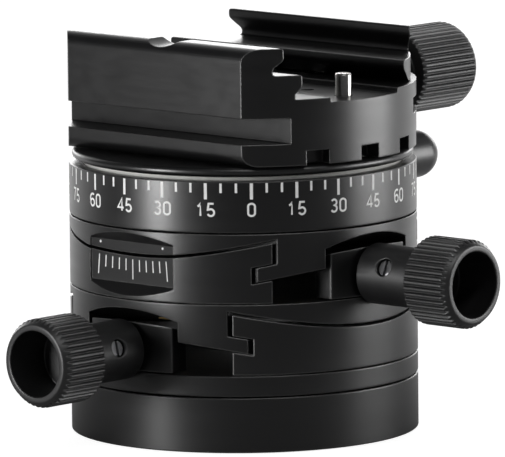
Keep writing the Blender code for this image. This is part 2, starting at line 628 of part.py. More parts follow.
def build_stage(prefix, bottom, height, turn, standoff, screw_place, rise_degrees, facing):
    """All pieces of one tilt stage, as three lists: fixed below, turning with the worm, tilting."""
    axis_height = bottom + TILT_ARM
    wide = math.radians(ARC_HALF_ANGLE_DEGREES)
    worm_place = (0, 0, bottom + WORM_HEIGHT)
    rails = []
    for side, word in ((1, "left"), (-1, "right")):
        rail = swept(f"{prefix}_rail_{word}", rail_section(side), axis_height, wide)
        combine(rail, body_bar(bottom + SEAT_GAP, bottom + height), "INTERSECT")
        rails.append(finish(rail, BLACK_ANODISED))
    slider = swept(f"{prefix}_slider", slider_section(height), axis_height, wide)
    combine(slider, body_bar(bottom, bottom + height), "INTERSECT")
    reach = TOOTH_ANGLE * (WORM_TURNS_PER_RANGE + SECTOR_SPARE_TEETH) + SEAT_GAP / SECTOR_TIP_RADIUS
    combine(slider, swept("slot", sector_slot_section(), axis_height, reach))
    bearings = []
    for side, word in ((1, "front"), (-1, "rear")):
        bearing = swept(f"{prefix}_{word}_bearing_block", block_section(), axis_height, wide)
        combine(bearing, body_bar(bottom + SEAT_GAP, bottom + height), "INTERSECT")
        inner = side * (BODY_RADIUS - BLOCK_THICKNESS)
        outer = side * (BODY_RADIUS + OVERRUN)
        combine(bearing, block("keep", (min(inner, outer), -BODY_RADIUS, bottom),
                               (max(inner, outer), BODY_RADIUS, bottom + height)), "INTERSECT")
        combine(bearing, aimed(round_bar("bore", BEARING_RADIUS + SEAT_GAP, -BODY_RADIUS - OVERRUN,
                                         BODY_RADIUS + OVERRUN), (1, 0, 0), worm_place))
        bush = tube(f"{prefix}_{word}_bush", SHAFT_RADIUS + SHAFT_GAP, BEARING_RADIUS,
                    BODY_RADIUS - BLOCK_THICKNESS, BODY_RADIUS - SEAT_GAP)
        aimed(bush, (side, 0, 0), worm_place)
        bearings += [finish(bearing, BLACK_ANODISED), finish(bush, BRONZE)]
    shaft = worm_shaft(f"{prefix}_worm_shaft", -BODY_RADIUS + SHAFT_END_INSET, KNOB_SHAFT_END)
    finish(aimed(shaft, (1, 0, 0), worm_place), BRIGHT_STEEL)
    knob, screw = build_knob(f"{prefix}_knob", f"{prefix}_set_screw", bottom + WORM_HEIGHT, standoff,
                             screw_place, rise_degrees, facing)
    sector = prism(f"{prefix}_sector", sector_outline(axis_height), -SECTOR_HALF_WIDTH,
                   SECTOR_HALF_WIDTH, "Y")
    finish(sector, BRASS)
    finish(slider, BLACK_ANODISED)
    fixed = rails + bearings
    driven = [shaft, knob, screw]
    tilting = [slider, sector]
    for item in fixed + driven + tilting:
        rotated(item, turn)
    return fixed, driven, tilting


def cut_scale_pocket(items):
    """Flat of the tilt scale, with sloping ends above and below."""
    low = UPPER_STAGE_BOTTOM + SCALE_POCKET_LOW
    high = UPPER_STAGE_BOTTOM + SCALE_POCKET_HIGH
    outward = BODY_RADIUS - SCALE_POCKET_PLANE + OVERRUN
    outline = [(-SCALE_POCKET_PLANE, low), (-SCALE_POCKET_PLANE - outward, low - outward),
               (-SCALE_POCKET_PLANE - outward, high + outward), (-SCALE_POCKET_PLANE, high)]
    for item in items:
        combine(item, prism("pocket", outline, -SCALE_POCKET_HALF_LENGTH,
                            SCALE_POCKET_HALF_LENGTH, "X"))
        finish(item, BLACK_ANODISED)


# Pan bearing
def build_pan(upper_slider):
    bore = SPINDLE_RADIUS + SHAFT_GAP
    glide_low = RING_TOP + TURNTABLE_GROOVE - SEAT_GAP - GLIDE_THICKNESS
    ring = turned("scale_ring", [
        (bore, RING_BOTTOM + SEAT_GAP), (BODY_RADIUS, RING_BOTTOM + SEAT_GAP),
        (BODY_RADIUS, RING_TOP - SCALE_RING_CHAMFER), (BODY_RADIUS - SCALE_RING_CHAMFER, RING_TOP),
        (GLIDE_OUTER_RADIUS + SEAT_GAP, RING_TOP), (GLIDE_OUTER_RADIUS + SEAT_GAP, glide_low - SEAT_GAP),
        (GLIDE_INNER_RADIUS - SEAT_GAP, glide_low - SEAT_GAP), (GLIDE_INNER_RADIUS - SEAT_GAP, RING_TOP),
        (bore, RING_TOP)], BODY_SIDES)
    combine(ring, aimed(round_bar("hole", SHOE_RADIUS + SEAT_GAP, 0, BODY_RADIUS + OVERRUN),
                        (0, 1, 0), (0, 0, LOCK_HEIGHT)))
    glide = tube("pan_glide_ring", GLIDE_INNER_RADIUS, GLIDE_OUTER_RADIUS, glide_low,
                 glide_low + GLIDE_THICKNESS, SPINDLE_SIDES)
    spindle_low = RING_BOTTOM + SEAT_GAP
    spindle_high = TURNTABLE_BOTTOM - SEAT_GAP
    well = spindle_high - SPINDLE_WELL_DEPTH
    spindle = turned("pan_spindle", [
        (SPINDLE_BORE_RADIUS, spindle_low), (SPINDLE_RADIUS, spindle_low),
        (SPINDLE_RADIUS, LOCK_HEIGHT - BRAKE_GROOVE_HALF_WIDTH),
        (SPINDLE_RADIUS - BRAKE_GROOVE_DEPTH, LOCK_HEIGHT - BRAKE_GROOVE_HALF_WIDTH / 2),
        (SPINDLE_RADIUS - BRAKE_GROOVE_DEPTH, LOCK_HEIGHT + BRAKE_GROOVE_HALF_WIDTH / 2),
        (SPINDLE_RADIUS, LOCK_HEIGHT + BRAKE_GROOVE_HALF_WIDTH), (SPINDLE_RADIUS, spindle_high),
        (SPINDLE_WELL_RADIUS, spindle_high), (SPINDLE_WELL_RADIUS, well), (SPINDLE_BORE_RADIUS, well)],
        SPINDLE_SIDES)
    washer_low = well + SEAT_GAP
    washer_high = washer_low + PAN_WASHER_THICKNESS
    washer = tube("pan_washer", SPINDLE_BORE_RADIUS, PAN_BOLT_HEAD_RADIUS, washer_low, washer_high)
    head_low = washer_high + SEAT_GAP
    bolt_low = RING_BOTTOM - PAN_BOLT_BITE
    bolt = turned("pan_bolt", [
        (0, bolt_low), (PAN_BOLT_RADIUS, bolt_low), (PAN_BOLT_RADIUS, head_low),
        (PAN_BOLT_HEAD_RADIUS, head_low), (PAN_BOLT_HEAD_RADIUS, head_low + PAN_BOLT_HEAD_HEIGHT),
        (0, head_low + PAN_BOLT_HEAD_HEIGHT)])
    combine(bolt, round_bar("socket", PAN_BOLT_SOCKET_RADIUS,
                            head_low + PAN_BOLT_HEAD_HEIGHT - PAN_BOLT_SOCKET_DEPTH,
                            head_low + PAN_BOLT_HEAD_HEIGHT + OVERRUN, 6))
    combine(upper_slider, round_bar("hole", PAN_BOLT_RADIUS + SEAT_GAP, bolt_low - SEAT_GAP,
                                    RING_BOTTOM + OVERRUN))
    rounding = TURNTABLE_ROUNDING
    rim = TURNTABLE_RADIUS - rounding
    disc = turned("turntable_disc",
                  [(0, TURNTABLE_BOTTOM)]
                  + arc_points((rim, TURNTABLE_BOTTOM + rounding), rounding, -90, 0, 2)
                  + arc_points((rim, TURNTABLE_TOP - rounding), rounding, 0, 90, 2)
                  + [(0, TURNTABLE_TOP)], BODY_SIDES)
    fixed = [finish(ring, BLACK_ANODISED), finish(glide, WHITE_PLASTIC), finish(bolt, DARK_STEEL),
             finish(washer, BRIGHT_STEEL)]
    turning = [finish(spindle, BLACK_ANODISED), finish(disc, BLACK_ANODISED)]
    return fixed, turning


def clamp_bolt_places():
    return [math.radians(CLAMP_BOLT_TURN_DEGREES) + 2 * math.pi * index / CLAMP_BOLT_COUNT
            for index in range(CLAMP_BOLT_COUNT)]


def build_clamp_bolts(disc, spindle, clamp):
    """Bolts from under the spindle, through it and the turntable disc, into the clamp body."""
    low = RING_BOTTOM + SEAT_GAP + SEAT_GAP
    shoulder = low + CLAMP_BOLT_HEAD_HEIGHT
    high = CLAMP_BOTTOM + CLAMP_BOLT_BITE
    bolts = []
    for number, angle in enumerate(clamp_bolt_places(), start=1):
        place = polar(CLAMP_BOLT_CIRCLE, angle)
        for item in (disc, spindle, clamp):
            hole = turned("hole", [
                (0, low - OVERRUN), (CLAMP_BOLT_HEAD_RADIUS + SEAT_GAP, low - OVERRUN),
                (CLAMP_BOLT_HEAD_RADIUS + SEAT_GAP, shoulder + SEAT_GAP),
                (CLAMP_BOLT_RADIUS + SEAT_GAP, shoulder + SEAT_GAP),
                (CLAMP_BOLT_RADIUS + SEAT_GAP, high + SEAT_GAP), (0, high + SEAT_GAP)], HOLE_SIDES)
            combine(item, moved(hole, place))
        bolt = turned(f"clamp_bolt_{number}", [
            (0, low), (CLAMP_BOLT_HEAD_RADIUS, low), (CLAMP_BOLT_HEAD_RADIUS, shoulder),
            (CLAMP_BOLT_RADIUS, shoulder), (CLAMP_BOLT_RADIUS, high), (0, high)], HOLE_SIDES)
        bolts.append(finish(moved(bolt, place), DARK_STEEL))
    return bolts


def build_pan_lock():
    start = SPINDLE_RADIUS - BRAKE_GROOVE_DEPTH + SEAT_GAP
    body = start + SHOE_NOSE_LENGTH
    shoe_end = start + SHOE_LENGTH
    shoe = turned("brake_shoe", [(0, start), (SHOE_NOSE_RADIUS, start), (SHOE_RADIUS, body + SHOE_NOSE_LENGTH),
                                 (SHOE_RADIUS, shoe_end), (0, shoe_end)])
    screw_start = shoe_end + SEAT_GAP
    screw_end = screw_start + LOCK_SCREW_LENGTH
    screw = round_bar("pan_lock_screw", LOCK_SCREW_RADIUS, screw_start, screw_end)
    hub_start = BODY_RADIUS + LOCK_KNOB_STANDOFF
    knob_start = hub_start + LOCK_KNOB_HUB_LENGTH
    knob_end = knob_start + LOCK_KNOB_LENGTH
    bore = LOCK_SCREW_RADIUS + SEAT_GAP
    dome_centre = (0, knob_end - LOCK_KNOB_RADIUS)
    knob = turned("pan_lock_knob",
                  [(0, screw_end + SEAT_GAP), (bore, screw_end + SEAT_GAP), (bore, hub_start),
                   (LOCK_KNOB_HUB_RADIUS, hub_start), (LOCK_KNOB_HUB_RADIUS, knob_start),
                   (LOCK_KNOB_RADIUS, knob_start)]
                  + arc_points(dome_centre, LOCK_KNOB_RADIUS, 0, 90, 6)[:-1] + [(0, knob_end)])
    for item, look in ((shoe, BRONZE), (screw, BRIGHT_STEEL), (knob, BLACK_KNOB)):
        aimed(item, (0, 1, 0), (0, 0, LOCK_HEIGHT))
        finish(item, look)
    return shoe, screw, knob


# Plate clamp
def clamp_section():
    """Outline across the clamp body, from the front foot over the jaw to the rear shelf."""
    front = -CLAMP_FRONT
    rear = BODY_RADIUS + OVERRUN
    lip = -FRONT_LIP
    ledge = -FRONT_LEDGE
    lip_low = CLAMP_TOP - FRONT_LIP_FACE_HEIGHT
    ledge_low = UPPER_FLOOR - FRONT_LEDGE_HEIGHT
    foot = arc_points((front + CLAMP_FOOT_ROUNDING, CLAMP_BOTTOM + CLAMP_FOOT_ROUNDING),
                      CLAMP_FOOT_ROUNDING, 270, 180)
    shoulder = arc_points((front + CLAMP_TOP_ROUNDING, CLAMP_TOP - CLAMP_TOP_ROUNDING),
                          CLAMP_TOP_ROUNDING, 180, 90)
    return (foot
            + [(front, FRONT_SLOT_FLOOR), (-FRONT_SLOT_BACK, FRONT_SLOT_FLOOR),
               (-FRONT_SLOT_BACK, FRONT_SLOT_ROOF), (front, FRONT_SLOT_ROOF)]
            + shoulder
            + [(lip - LIP_EDGE_CHAMFER, CLAMP_TOP), (lip, CLAMP_TOP - LIP_EDGE_CHAMFER), (lip, lip_low),
               (lip - LIP_UNDERCUT, lip_low - FRONT_LIP_DROP), (lip - LIP_UNDERCUT, UPPER_FLOOR),
               (ledge, UPPER_FLOOR), (ledge, ledge_low),
               (ledge - FRONT_LEDGE_UNDERCUT, ledge_low - FRONT_LEDGE_DROP),
               (ledge - FRONT_LEDGE_UNDERCUT, SIDE_FLOOR), (-RELIEF_FRONT, SIDE_FLOOR),
               (-RELIEF_FRONT, RELIEF_FLOOR), (RELIEF_REAR, RELIEF_FLOOR),
               (RELIEF_REAR, SIDE_FLOOR), (rear, SIDE_FLOOR), (rear, REAR_SLOT_ROOF),
               (REAR_SLOT_FRONT, REAR_SLOT_ROOF), (REAR_SLOT_FRONT, REAR_SLOT_FLOOR),
               (rear, REAR_SLOT_FLOOR), (rear, CLAMP_BOTTOM)])


def build_clamp():
    half = BODY_RADIUS + OVERRUN
    clamp = prism("clamp_body", clamp_section(), -half, half, "X")
    combine(clamp, body_bar(CLAMP_BOTTOM - OVERRUN, CLAMP_TOP + OVERRUN), "INTERSECT")
    combine(clamp, aimed(round_bar("scoop", SCOOP_RADIUS, 0, half, BODY_SIDES), (0, -1, 0),
                         (SCOOP_PLACE, 0, CLAMP_TOP - SCOOP_DEPTH + SCOOP_RADIUS)))
    for index in range(NOTCH_COUNT):
        angle = math.radians(NOTCH_TURN_DEGREES) + 2 * math.pi * index / NOTCH_COUNT
        if math.sin(-angle) < NOTCH_REACH_SHARE:
            notch = block("notch", (BODY_RADIUS - NOTCH_DEPTH, -NOTCH_WIDTH / 2, CLAMP_BOTTOM - OVERRUN),
                          (half, NOTCH_WIDTH / 2, CLAMP_BOTTOM + NOTCH_HEIGHT))
            combine(clamp, rotated(notch, angle))
    combine(clamp, moved(round_bar("hole", FLOOR_HOLE_RADIUS, RELIEF_FLOOR - FLOOR_HOLE_DEPTH,
                                   RELIEF_FLOOR + OVERRUN), (FLOOR_HOLE_PLACE_X, FLOOR_HOLE_PLACE_Y, 0)))
    combine(clamp, block("pocket", (-JAW_LUG_HALF_WIDTH - SEAT_GAP, STUD_WALL, LUG_POCKET_FLOOR),
                         (JAW_LUG_HALF_WIDTH + SEAT_GAP, half, SIDE_FLOOR + OVERRUN)))
    combine(clamp, aimed(round_bar("stud_hole", STUD_RADIUS, STUD_SEAT_START, STUD_WALL + OVERRUN),
                         (0, 1, 0), (0, 0, STUD_HEIGHT)))
    return clamp


def build_stop_pin(clamp):
    """Pin in a stepped bore of the clamp body, with the spring that lifts it."""
    place = (STOP_PIN_PLACE_X, STOP_PIN_PLACE_Y, 0)
    ceiling = RELIEF_FLOOR - STOP_PIN_CEILING
    wide = STOP_PIN_COLLAR_RADIUS + SEAT_GAP
    narrow = STOP_PIN_RADIUS + SHAFT_GAP
    combine(clamp, moved(turned("bore", [
        (0, CLAMP_BOTTOM - OVERRUN), (wide, CLAMP_BOTTOM - OVERRUN), (wide, ceiling), (narrow, ceiling),
        (narrow, RELIEF_FLOOR + OVERRUN), (0, RELIEF_FLOOR + OVERRUN)]), place))
    collar_high = ceiling - SEAT_GAP
    collar_low = collar_high - STOP_PIN_COLLAR_HEIGHT
    top = RELIEF_FLOOR + STOP_PIN_HEIGHT
    pin = turned("stop_pin", [
        (0, collar_low), (STOP_PIN_COLLAR_RADIUS, collar_low), (STOP_PIN_COLLAR_RADIUS, collar_high),
        (STOP_PIN_RADIUS, collar_high), (STOP_PIN_RADIUS, top - STOP_PIN_CHAMFER),
        (STOP_PIN_RADIUS - STOP_PIN_CHAMFER, top), (0, top)])
    finish(moved(pin, place), BRIGHT_STEEL)
    low = CLAMP_BOTTOM + STOP_SPRING_WIRE
    high = collar_low - SEAT_GAP - STOP_SPRING_WIRE
    coil_radius = STOP_PIN_COLLAR_RADIUS - STOP_SPRING_WIRE
    curve = bpy.data.curves.new("stop_pin_spring", "CURVE")
    curve.dimensions = "3D"
    curve.bevel_depth = STOP_SPRING_WIRE / 2
    curve.bevel_resolution = 1
    curve.use_fill_caps = True
    count = STOP_SPRING_TURNS * STOP_SPRING_POINTS_PER_TURN + 1
    spline = curve.splines.new("POLY")
    spline.points.add(count - 1)
    for index, point in enumerate(spline.points):
        angle = 2 * math.pi * index / STOP_SPRING_POINTS_PER_TURN
        height = low + (high - low) * index / (count - 1)
        x, y, z = polar(coil_radius, angle, height)
        point.co = (x + place[0], y + place[1], z, 1)
    guide = bpy.data.objects.new("guide", curve)
    bpy.context.scene.collection.objects.link(guide)
    bpy.context.view_layer.update()
    mesh = bpy.data.meshes.new_from_object(guide.evaluated_get(bpy.context.evaluated_depsgraph_get()))
    bpy.data.objects.remove(guide, do_unlink=True)
    spring = bpy.data.objects.new("stop_pin_spring", mesh)
    bpy.context.scene.collection.objects.link(spring)
    return pin, finish(spring, BRIGHT_STEEL)


def jaw_section():
    """Outline across the rear jaw: a lip over a slope, a ledge over a longer slope, and a flat underside."""
    lip = REAR_LIP
    ledge = REAR_LEDGE
    under = SIDE_FLOOR + SEAT_GAP
    lip_low = CLAMP_TOP - REAR_LIP_FACE_HEIGHT
    rear = BODY_RADIUS + OVERRUN
    return [(lip + LIP_EDGE_CHAMFER, CLAMP_TOP), (lip, CLAMP_TOP - LIP_EDGE_CHAMFER), (lip, lip_low),
            (lip + LIP_UNDERCUT, lip_low - REAR_LIP_DROP), (lip + LIP_UNDERCUT, UPPER_FLOOR),
            (ledge, UPPER_FLOOR), (ledge, UPPER_FLOOR - REAR_LEDGE_HEIGHT),
            (ledge + REAR_LEDGE_UNDERCUT, under), (rear, under), (rear, CLAMP_TOP)]


def build_jaw():
    """Rear jaw with a lug and side wings below its shelf; the knob's sleeve passes through the lug."""
    half = BODY_RADIUS + OVERRUN
    under = SIDE_FLOOR + SEAT_GAP
    lug_low = LUG_POCKET_FLOOR + SEAT_GAP
    wing_front = REAR_SLOT_FRONT + JAW_TRAVEL_IN + SEAT_GAP
    jaw = prism("rear_jaw", jaw_section(), -half, half, "X")
    combine(jaw, block("lug", (-JAW_LUG_HALF_WIDTH, JAW_LUG_FRONT, lug_low),
                       (JAW_LUG_HALF_WIDTH, half, under + OVERRUN)), "UNION")
    combine(jaw, block("wings", (-JAW_WING_HALF_WIDTH, wing_front, REAR_SLOT_FLOOR + SEAT_GAP),
                       (JAW_WING_HALF_WIDTH, half, REAR_SLOT_ROOF - SEAT_GAP)), "UNION")
    combine(jaw, moved(body_bar(0, CLAMP_TOP + OVERRUN), (0, -JAW_SHIFT, 0)), "INTERSECT")
    room_start = JAW_LUG_FRONT - SEAT_GAP - RETAINER_THICKNESS - SLEEVE_TIP - SEAT_GAP
    combine(jaw, aimed(round_bar("room", RETAINER_RADIUS + SEAT_GAP, 0, JAW_LUG_FRONT - room_start),
                       (0, 1, 0), (0, room_start, STUD_HEIGHT)))
    combine(jaw, aimed(round_bar("hole", SLEEVE_RADIUS + SHAFT_GAP, 0, half), (0, 1, 0),
                       (0, room_start, STUD_HEIGHT)))
    return finish(jaw, BLACK_ANODISED)


def build_clamp_drive():
    """Fixed stud, knob with its sleeve, and the ring that keeps the sleeve in the jaw's lug."""
    lug_back = BODY_RADIUS - JAW_SHIFT
    hub_start = lug_back + SEAT_GAP
    grip_start = hub_start + CLAMP_HUB_LENGTH
    ring_high = JAW_LUG_FRONT - SEAT_GAP
    ring_low = ring_high - RETAINER_THICKNESS
    sleeve_start = ring_low - SLEEVE_TIP
    stud = round_bar("clamp_stud", STUD_RADIUS - SHAFT_GAP, STUD_SEAT_START + SEAT_GAP, STUD_END)
    knob = ribbed_grip("clamp_knob", grip_start, CLAMP_GRIP_LENGTH, CLAMP_KNOB_CHAMFER)
    combine(knob, round_bar("hub", CLAMP_HUB_RADIUS, hub_start, grip_start + CLAMP_KNOB_CHAMFER), "UNION")
    combine(knob, round_bar("sleeve", SLEEVE_RADIUS, sleeve_start, hub_start + CLAMP_KNOB_CHAMFER), "UNION")
    groove = tube("groove", SLEEVE_RADIUS - RETAINER_GROOVE_DEPTH, SLEEVE_RADIUS + OVERRUN,
                  ring_low - SEAT_GAP / 2, ring_high + SEAT_GAP / 2)
    combine(knob, groove)
    combine(knob, round_bar("bore", SLEEVE_BORE_RADIUS, sleeve_start - OVERRUN,
                           grip_start + CLAMP_GRIP_LENGTH - CLAMP_KNOB_END_WALL))
    retainer = tube("knob_retaining_ring", SLEEVE_RADIUS - RETAINER_GROOVE_DEPTH / 2, RETAINER_RADIUS,
                    ring_low, ring_high)
    for item, look in ((stud, BRIGHT_STEEL), (knob, BLACK_KNOB), (retainer, BRIGHT_STEEL)):
        aimed(item, (0, 1, 0), (0, 0, STUD_HEIGHT))
        finish(item, look)
    return stud, knob, retainer


def pivot(name, place, parent=None):
    """Empty on a joint's axis that carries the pieces moving there."""
    item = bpy.data.objects.new(name, None)
    bpy.context.scene.collection.objects.link(item)
    item.matrix_world = Matrix.Translation(place)
    hang(item, parent)
    return item


def hang(item, parent):
    """Parent an object without moving it."""
    if parent is not None:
        bpy.context.view_layer.update()
        item.parent = parent
        item.matrix_parent_inverse = parent.matrix_world.inverted()


def main():
    clear_scene()
    base = build_base()
    lower_fixed, lower_driven, lower_tilting = build_stage(
        "lower", LOWER_STAGE_BOTTOM, LOWER_STAGE_HEIGHT, LOWER_TURN, LOWER_KNOB_STANDOFF,
        LOWER_SET_SCREW_PLACE, LOWER_SET_SCREW_RISE_DEGREES, 1)
    upper_fixed, upper_driven, upper_tilting = build_stage(
        "upper", UPPER_STAGE_BOTTOM, UPPER_STAGE_HEIGHT, UPPER_TURN, UPPER_KNOB_STANDOFF,
        UPPER_SET_SCREW_PLACE, UPPER_SET_SCREW_RISE_DEGREES, -1)
    upper_slider = upper_tilting[0]
    front_rail = upper_fixed[1]
    cut_scale_pocket([upper_slider, front_rail])
    pan_fixed, pan_turning = build_pan(upper_slider)
    clamp = build_clamp()
    pin, spring = build_stop_pin(clamp)
    spindle, disc = pan_turning
    bolts = build_clamp_bolts(disc, spindle, clamp)
    stud, knob, retainer = build_clamp_drive()
    jaw = build_jaw()
    shoe, lock_screw, lock_knob = build_pan_lock()
    for item in (upper_slider, clamp, spindle, disc):
        finish(item, BLACK_ANODISED)

    root = pivot("head_base", (0, 0, 0))
    lower_axis = pivot("lower_tilt_axis", (0, 0, LOWER_STAGE_BOTTOM + TILT_ARM), root)
    lower_worm = pivot("lower_worm_axis", (0, 0, LOWER_STAGE_BOTTOM + WORM_HEIGHT), root)
    upper_axis = pivot("upper_tilt_axis", (0, 0, UPPER_STAGE_BOTTOM + TILT_ARM), lower_axis)
    upper_worm = pivot("upper_worm_axis", (0, 0, UPPER_STAGE_BOTTOM + WORM_HEIGHT), lower_axis)
    pan_axis = pivot("pan_axis", (0, 0, RING_TOP), upper_axis)
    lock_axis = pivot("pan_lock_axis", (0, BODY_RADIUS, LOCK_HEIGHT), upper_axis)
    jaw_axis = pivot("jaw_axis", (0, REAR_LIP, STUD_HEIGHT), pan_axis)
    knob_axis = pivot("clamp_knob_axis", (0, BODY_RADIUS, STUD_HEIGHT), jaw_axis)
    pin_axis = pivot("stop_pin_axis", (STOP_PIN_PLACE_X, STOP_PIN_PLACE_Y, RELIEF_FLOOR), pan_axis)
    groups = ((root, base + lower_fixed), (lower_worm, lower_driven),
              (lower_axis, lower_tilting + upper_fixed), (upper_worm, upper_driven),
              (upper_axis, upper_tilting + pan_fixed), (lock_axis, [shoe, lock_screw, lock_knob]),
              (pan_axis, [spindle, disc, clamp, spring, stud] + bolts), (jaw_axis, [jaw]),
              (knob_axis, [knob, retainer]), (pin_axis, [pin]))
    for parent, items in groups:
        for item in items:
            hang(item, parent)


main()
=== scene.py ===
# %% [markdown]
# A geared leveling head sits between a tripod and a camera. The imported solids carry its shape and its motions.
# This script dresses them: it loads them first, because every visible piece is then made in the same metres
# and the same frame, and goes exactly where its solid is.

# %% Load the head
import json
import math

import bmesh
import bpy
import numpy as np
from mathutils import Matrix, Vector


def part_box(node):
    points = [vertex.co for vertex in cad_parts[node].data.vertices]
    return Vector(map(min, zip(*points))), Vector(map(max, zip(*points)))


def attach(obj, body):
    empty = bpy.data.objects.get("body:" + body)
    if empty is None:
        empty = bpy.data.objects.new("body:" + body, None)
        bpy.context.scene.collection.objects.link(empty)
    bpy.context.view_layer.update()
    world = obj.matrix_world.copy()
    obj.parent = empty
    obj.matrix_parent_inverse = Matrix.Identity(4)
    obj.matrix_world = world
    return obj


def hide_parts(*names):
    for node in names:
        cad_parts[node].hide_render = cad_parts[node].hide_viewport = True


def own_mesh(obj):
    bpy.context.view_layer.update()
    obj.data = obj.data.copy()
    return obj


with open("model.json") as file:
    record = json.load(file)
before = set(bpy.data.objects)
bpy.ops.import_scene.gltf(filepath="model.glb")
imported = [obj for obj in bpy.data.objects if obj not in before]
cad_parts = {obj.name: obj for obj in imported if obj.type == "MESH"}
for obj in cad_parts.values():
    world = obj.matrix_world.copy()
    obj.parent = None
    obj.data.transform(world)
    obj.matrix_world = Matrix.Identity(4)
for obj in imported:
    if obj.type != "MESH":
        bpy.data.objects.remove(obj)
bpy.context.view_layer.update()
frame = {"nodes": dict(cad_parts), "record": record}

# %% [markdown]
# All the round layers share one radius, and each layer starts a hair above the one below.

# %% Radii and heights
BODY_RADIUS = 0.0375
HAIRLINE = 0.0003
EDGE = 0.00028
CUT_EDGE = 0.00025
WALL_BAND = 0.00003
SHARP_DEGREES = 32


def span(node):
    """Lowest and highest height of a solid."""
    low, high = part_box(node)
    return low[2], high[2]


plate_low, plate_high = span("lower_plate")
ring_low, ring_high = span("scale_ring")
clamp_low, clamp_high = span("clamp_body")
print("ring from", round(ring_low * 1000, 2), "to", round(ring_high * 1000, 2), "mm")

# %% [markdown]
# Every mesh is worked out as arrays first. One helper turns arrays into an object: it merges the points that meet
# at seams and poles, makes the faces point outwards and smooths all but the sharp edges.

# %% From arrays to an object


def piece_from(name, points, faces):
    """Mesh object from an (n, 3) array of points and a list or (m, 4) array of faces."""
    mesh = bpy.data.meshes.new(name)
    mesh.from_pydata(np.asarray(points).tolist(), [], [tuple(face) for face in faces])
    item = bpy.data.objects.new(name, mesh)
    bpy.context.scene.collection.objects.link(item)
    return cleaned(item)


def cleaned(item):
    """Merge doubles, drop loose points and set which edges stay sharp."""
    bm = bmesh.new()
    bm.from_mesh(item.data)
    bmesh.ops.remove_doubles(bm, verts=bm.verts, dist=0.000002)
    bmesh.ops.dissolve_degenerate(bm, edges=bm.edges, dist=0.000001)
    bmesh.ops.delete(bm, geom=[v for v in bm.verts if not v.link_faces], context="VERTS")
    bmesh.ops.recalc_face_normals(bm, faces=bm.faces)
    bm.to_mesh(item.data)
    bm.free()
    item.data.shade_smooth()
    item.data.set_sharp_from_angle(angle=math.radians(SHARP_DEGREES))
    return item


def grid_faces(rows, columns, close_rows=False, close_columns=False):
    """Quads of a grid whose point (i, j) has the number i * columns + j."""
    i = np.arange(rows if close_rows else rows - 1)
    j = np.arange(columns if close_columns else columns - 1)
    i, j = [part.ravel() for part in np.meshgrid(i, j, indexing="ij")]
    up, across = (i + 1) % rows, (j + 1) % columns
    return np.stack([i * columns + j, i * columns + across, up * columns + across, up * columns + j], axis=1)


# %% [markdown]
# Most of the head was made on a lathe. A lathe part is an outline of radius and height carried round an axis.
# Its corners are broken with a small arc, because a real edge always catches a thin line of light, and the photo
# shows that line at every seam.

# %% Lathe parts


def broken(outline, size=EDGE, steps=3, closed=True):
    """Outline with each corner replaced by an arc of the given size.

    A corner's arc starts and ends `size` away from it along its two sides, never past a third of a side, and runs
    as the quadratic curve (1-t)^2 a + 2t(1-t) corner + t^2 b.
    """
    corners = np.asarray(outline, float)
    before, after = np.roll(corners, 1, axis=0), np.roll(corners, -1, axis=0)
    t = np.linspace(0, 1, steps + 1)[:, None]
    result = []
    for index, corner in enumerate(corners):
        if not closed and index in (0, len(corners) - 1):
            result.append(corner)
            continue
        back, ahead = before[index] - corner, after[index] - corner
        lengths = np.hypot(*back), np.hypot(*ahead)
        on_axis = corner[0] <= 0
        straight = abs(back[0] * ahead[1] - back[1] * ahead[0]) < 0.02 * lengths[0] * lengths[1]
        if on_axis or straight:
            result.append(corner)
            continue
        reach = [min(size, length / 3) for length in lengths]
        start = corner + back / lengths[0] * reach[0]
        end = corner + ahead / lengths[1] * reach[1]
        result.extend((1 - t) ** 2 * start + 2 * t * (1 - t) * corner + t ** 2 * end)
    return np.array(result)


def arc_between(centre, radius, start, end, steps=8):
    """Points of an arc between two angles in degrees."""
    angle = np.radians(np.linspace(start, end, steps + 1))
    return np.stack([centre[0] + radius * np.cos(angle), centre[1] + radius * np.sin(angle)], axis=1).tolist()


def axis_frame(direction, place):
    """Matrix that lays the height axis of a lathe part along a direction, from a place."""
    turn = Vector((0, 0, 1)).rotation_difference(Vector(direction)).to_matrix().to_4x4()
    return np.array(Matrix.Translation(place) @ turn)


def laid(points, matrix):
    """Points moved by a 4 x 4 matrix."""
    return points @ matrix[:3, :3].T + matrix[:3, 3]


def full_turn(count):
    """Angles of points that stand evenly round a circle."""
    return np.linspace(0, 2 * np.pi, count, endpoint=False)


def lathed(name, radius, height, matrix):
    """Lathe part: point (i, j) has the radius (i, j) and the height j, at the angle 2 pi i / rows."""
    angle = full_turn(len(radius))[:, None]
    x, y = np.cos(angle) * radius, np.sin(angle) * radius
    points = np.stack([x, y, np.broadcast_to(height, radius.shape)], axis=-1).reshape(-1, 3)
    return piece_from(name, laid(points, matrix), grid_faces(*radius.shape, True, True))


def turned(name, outline, sides=144, matrix=np.eye(4)):
    """Lathe part with the same outline of (radius, height) at every angle."""
    outline = np.asarray(outline)
    return lathed(name, np.tile(outline[:, 0], (sides, 1)), outline[:, 1], matrix)


# %% [markdown]
# The two tilt stages and the clamp are bars of a constant section, trimmed to the round body. The section is
# carried from one side of the body to the other, and every point stops at the body's circle, which is nearer at
# the edge than in the middle. The end faces are cut into narrow strips, so that they follow the circle.

# %% Sections trimmed to the round body


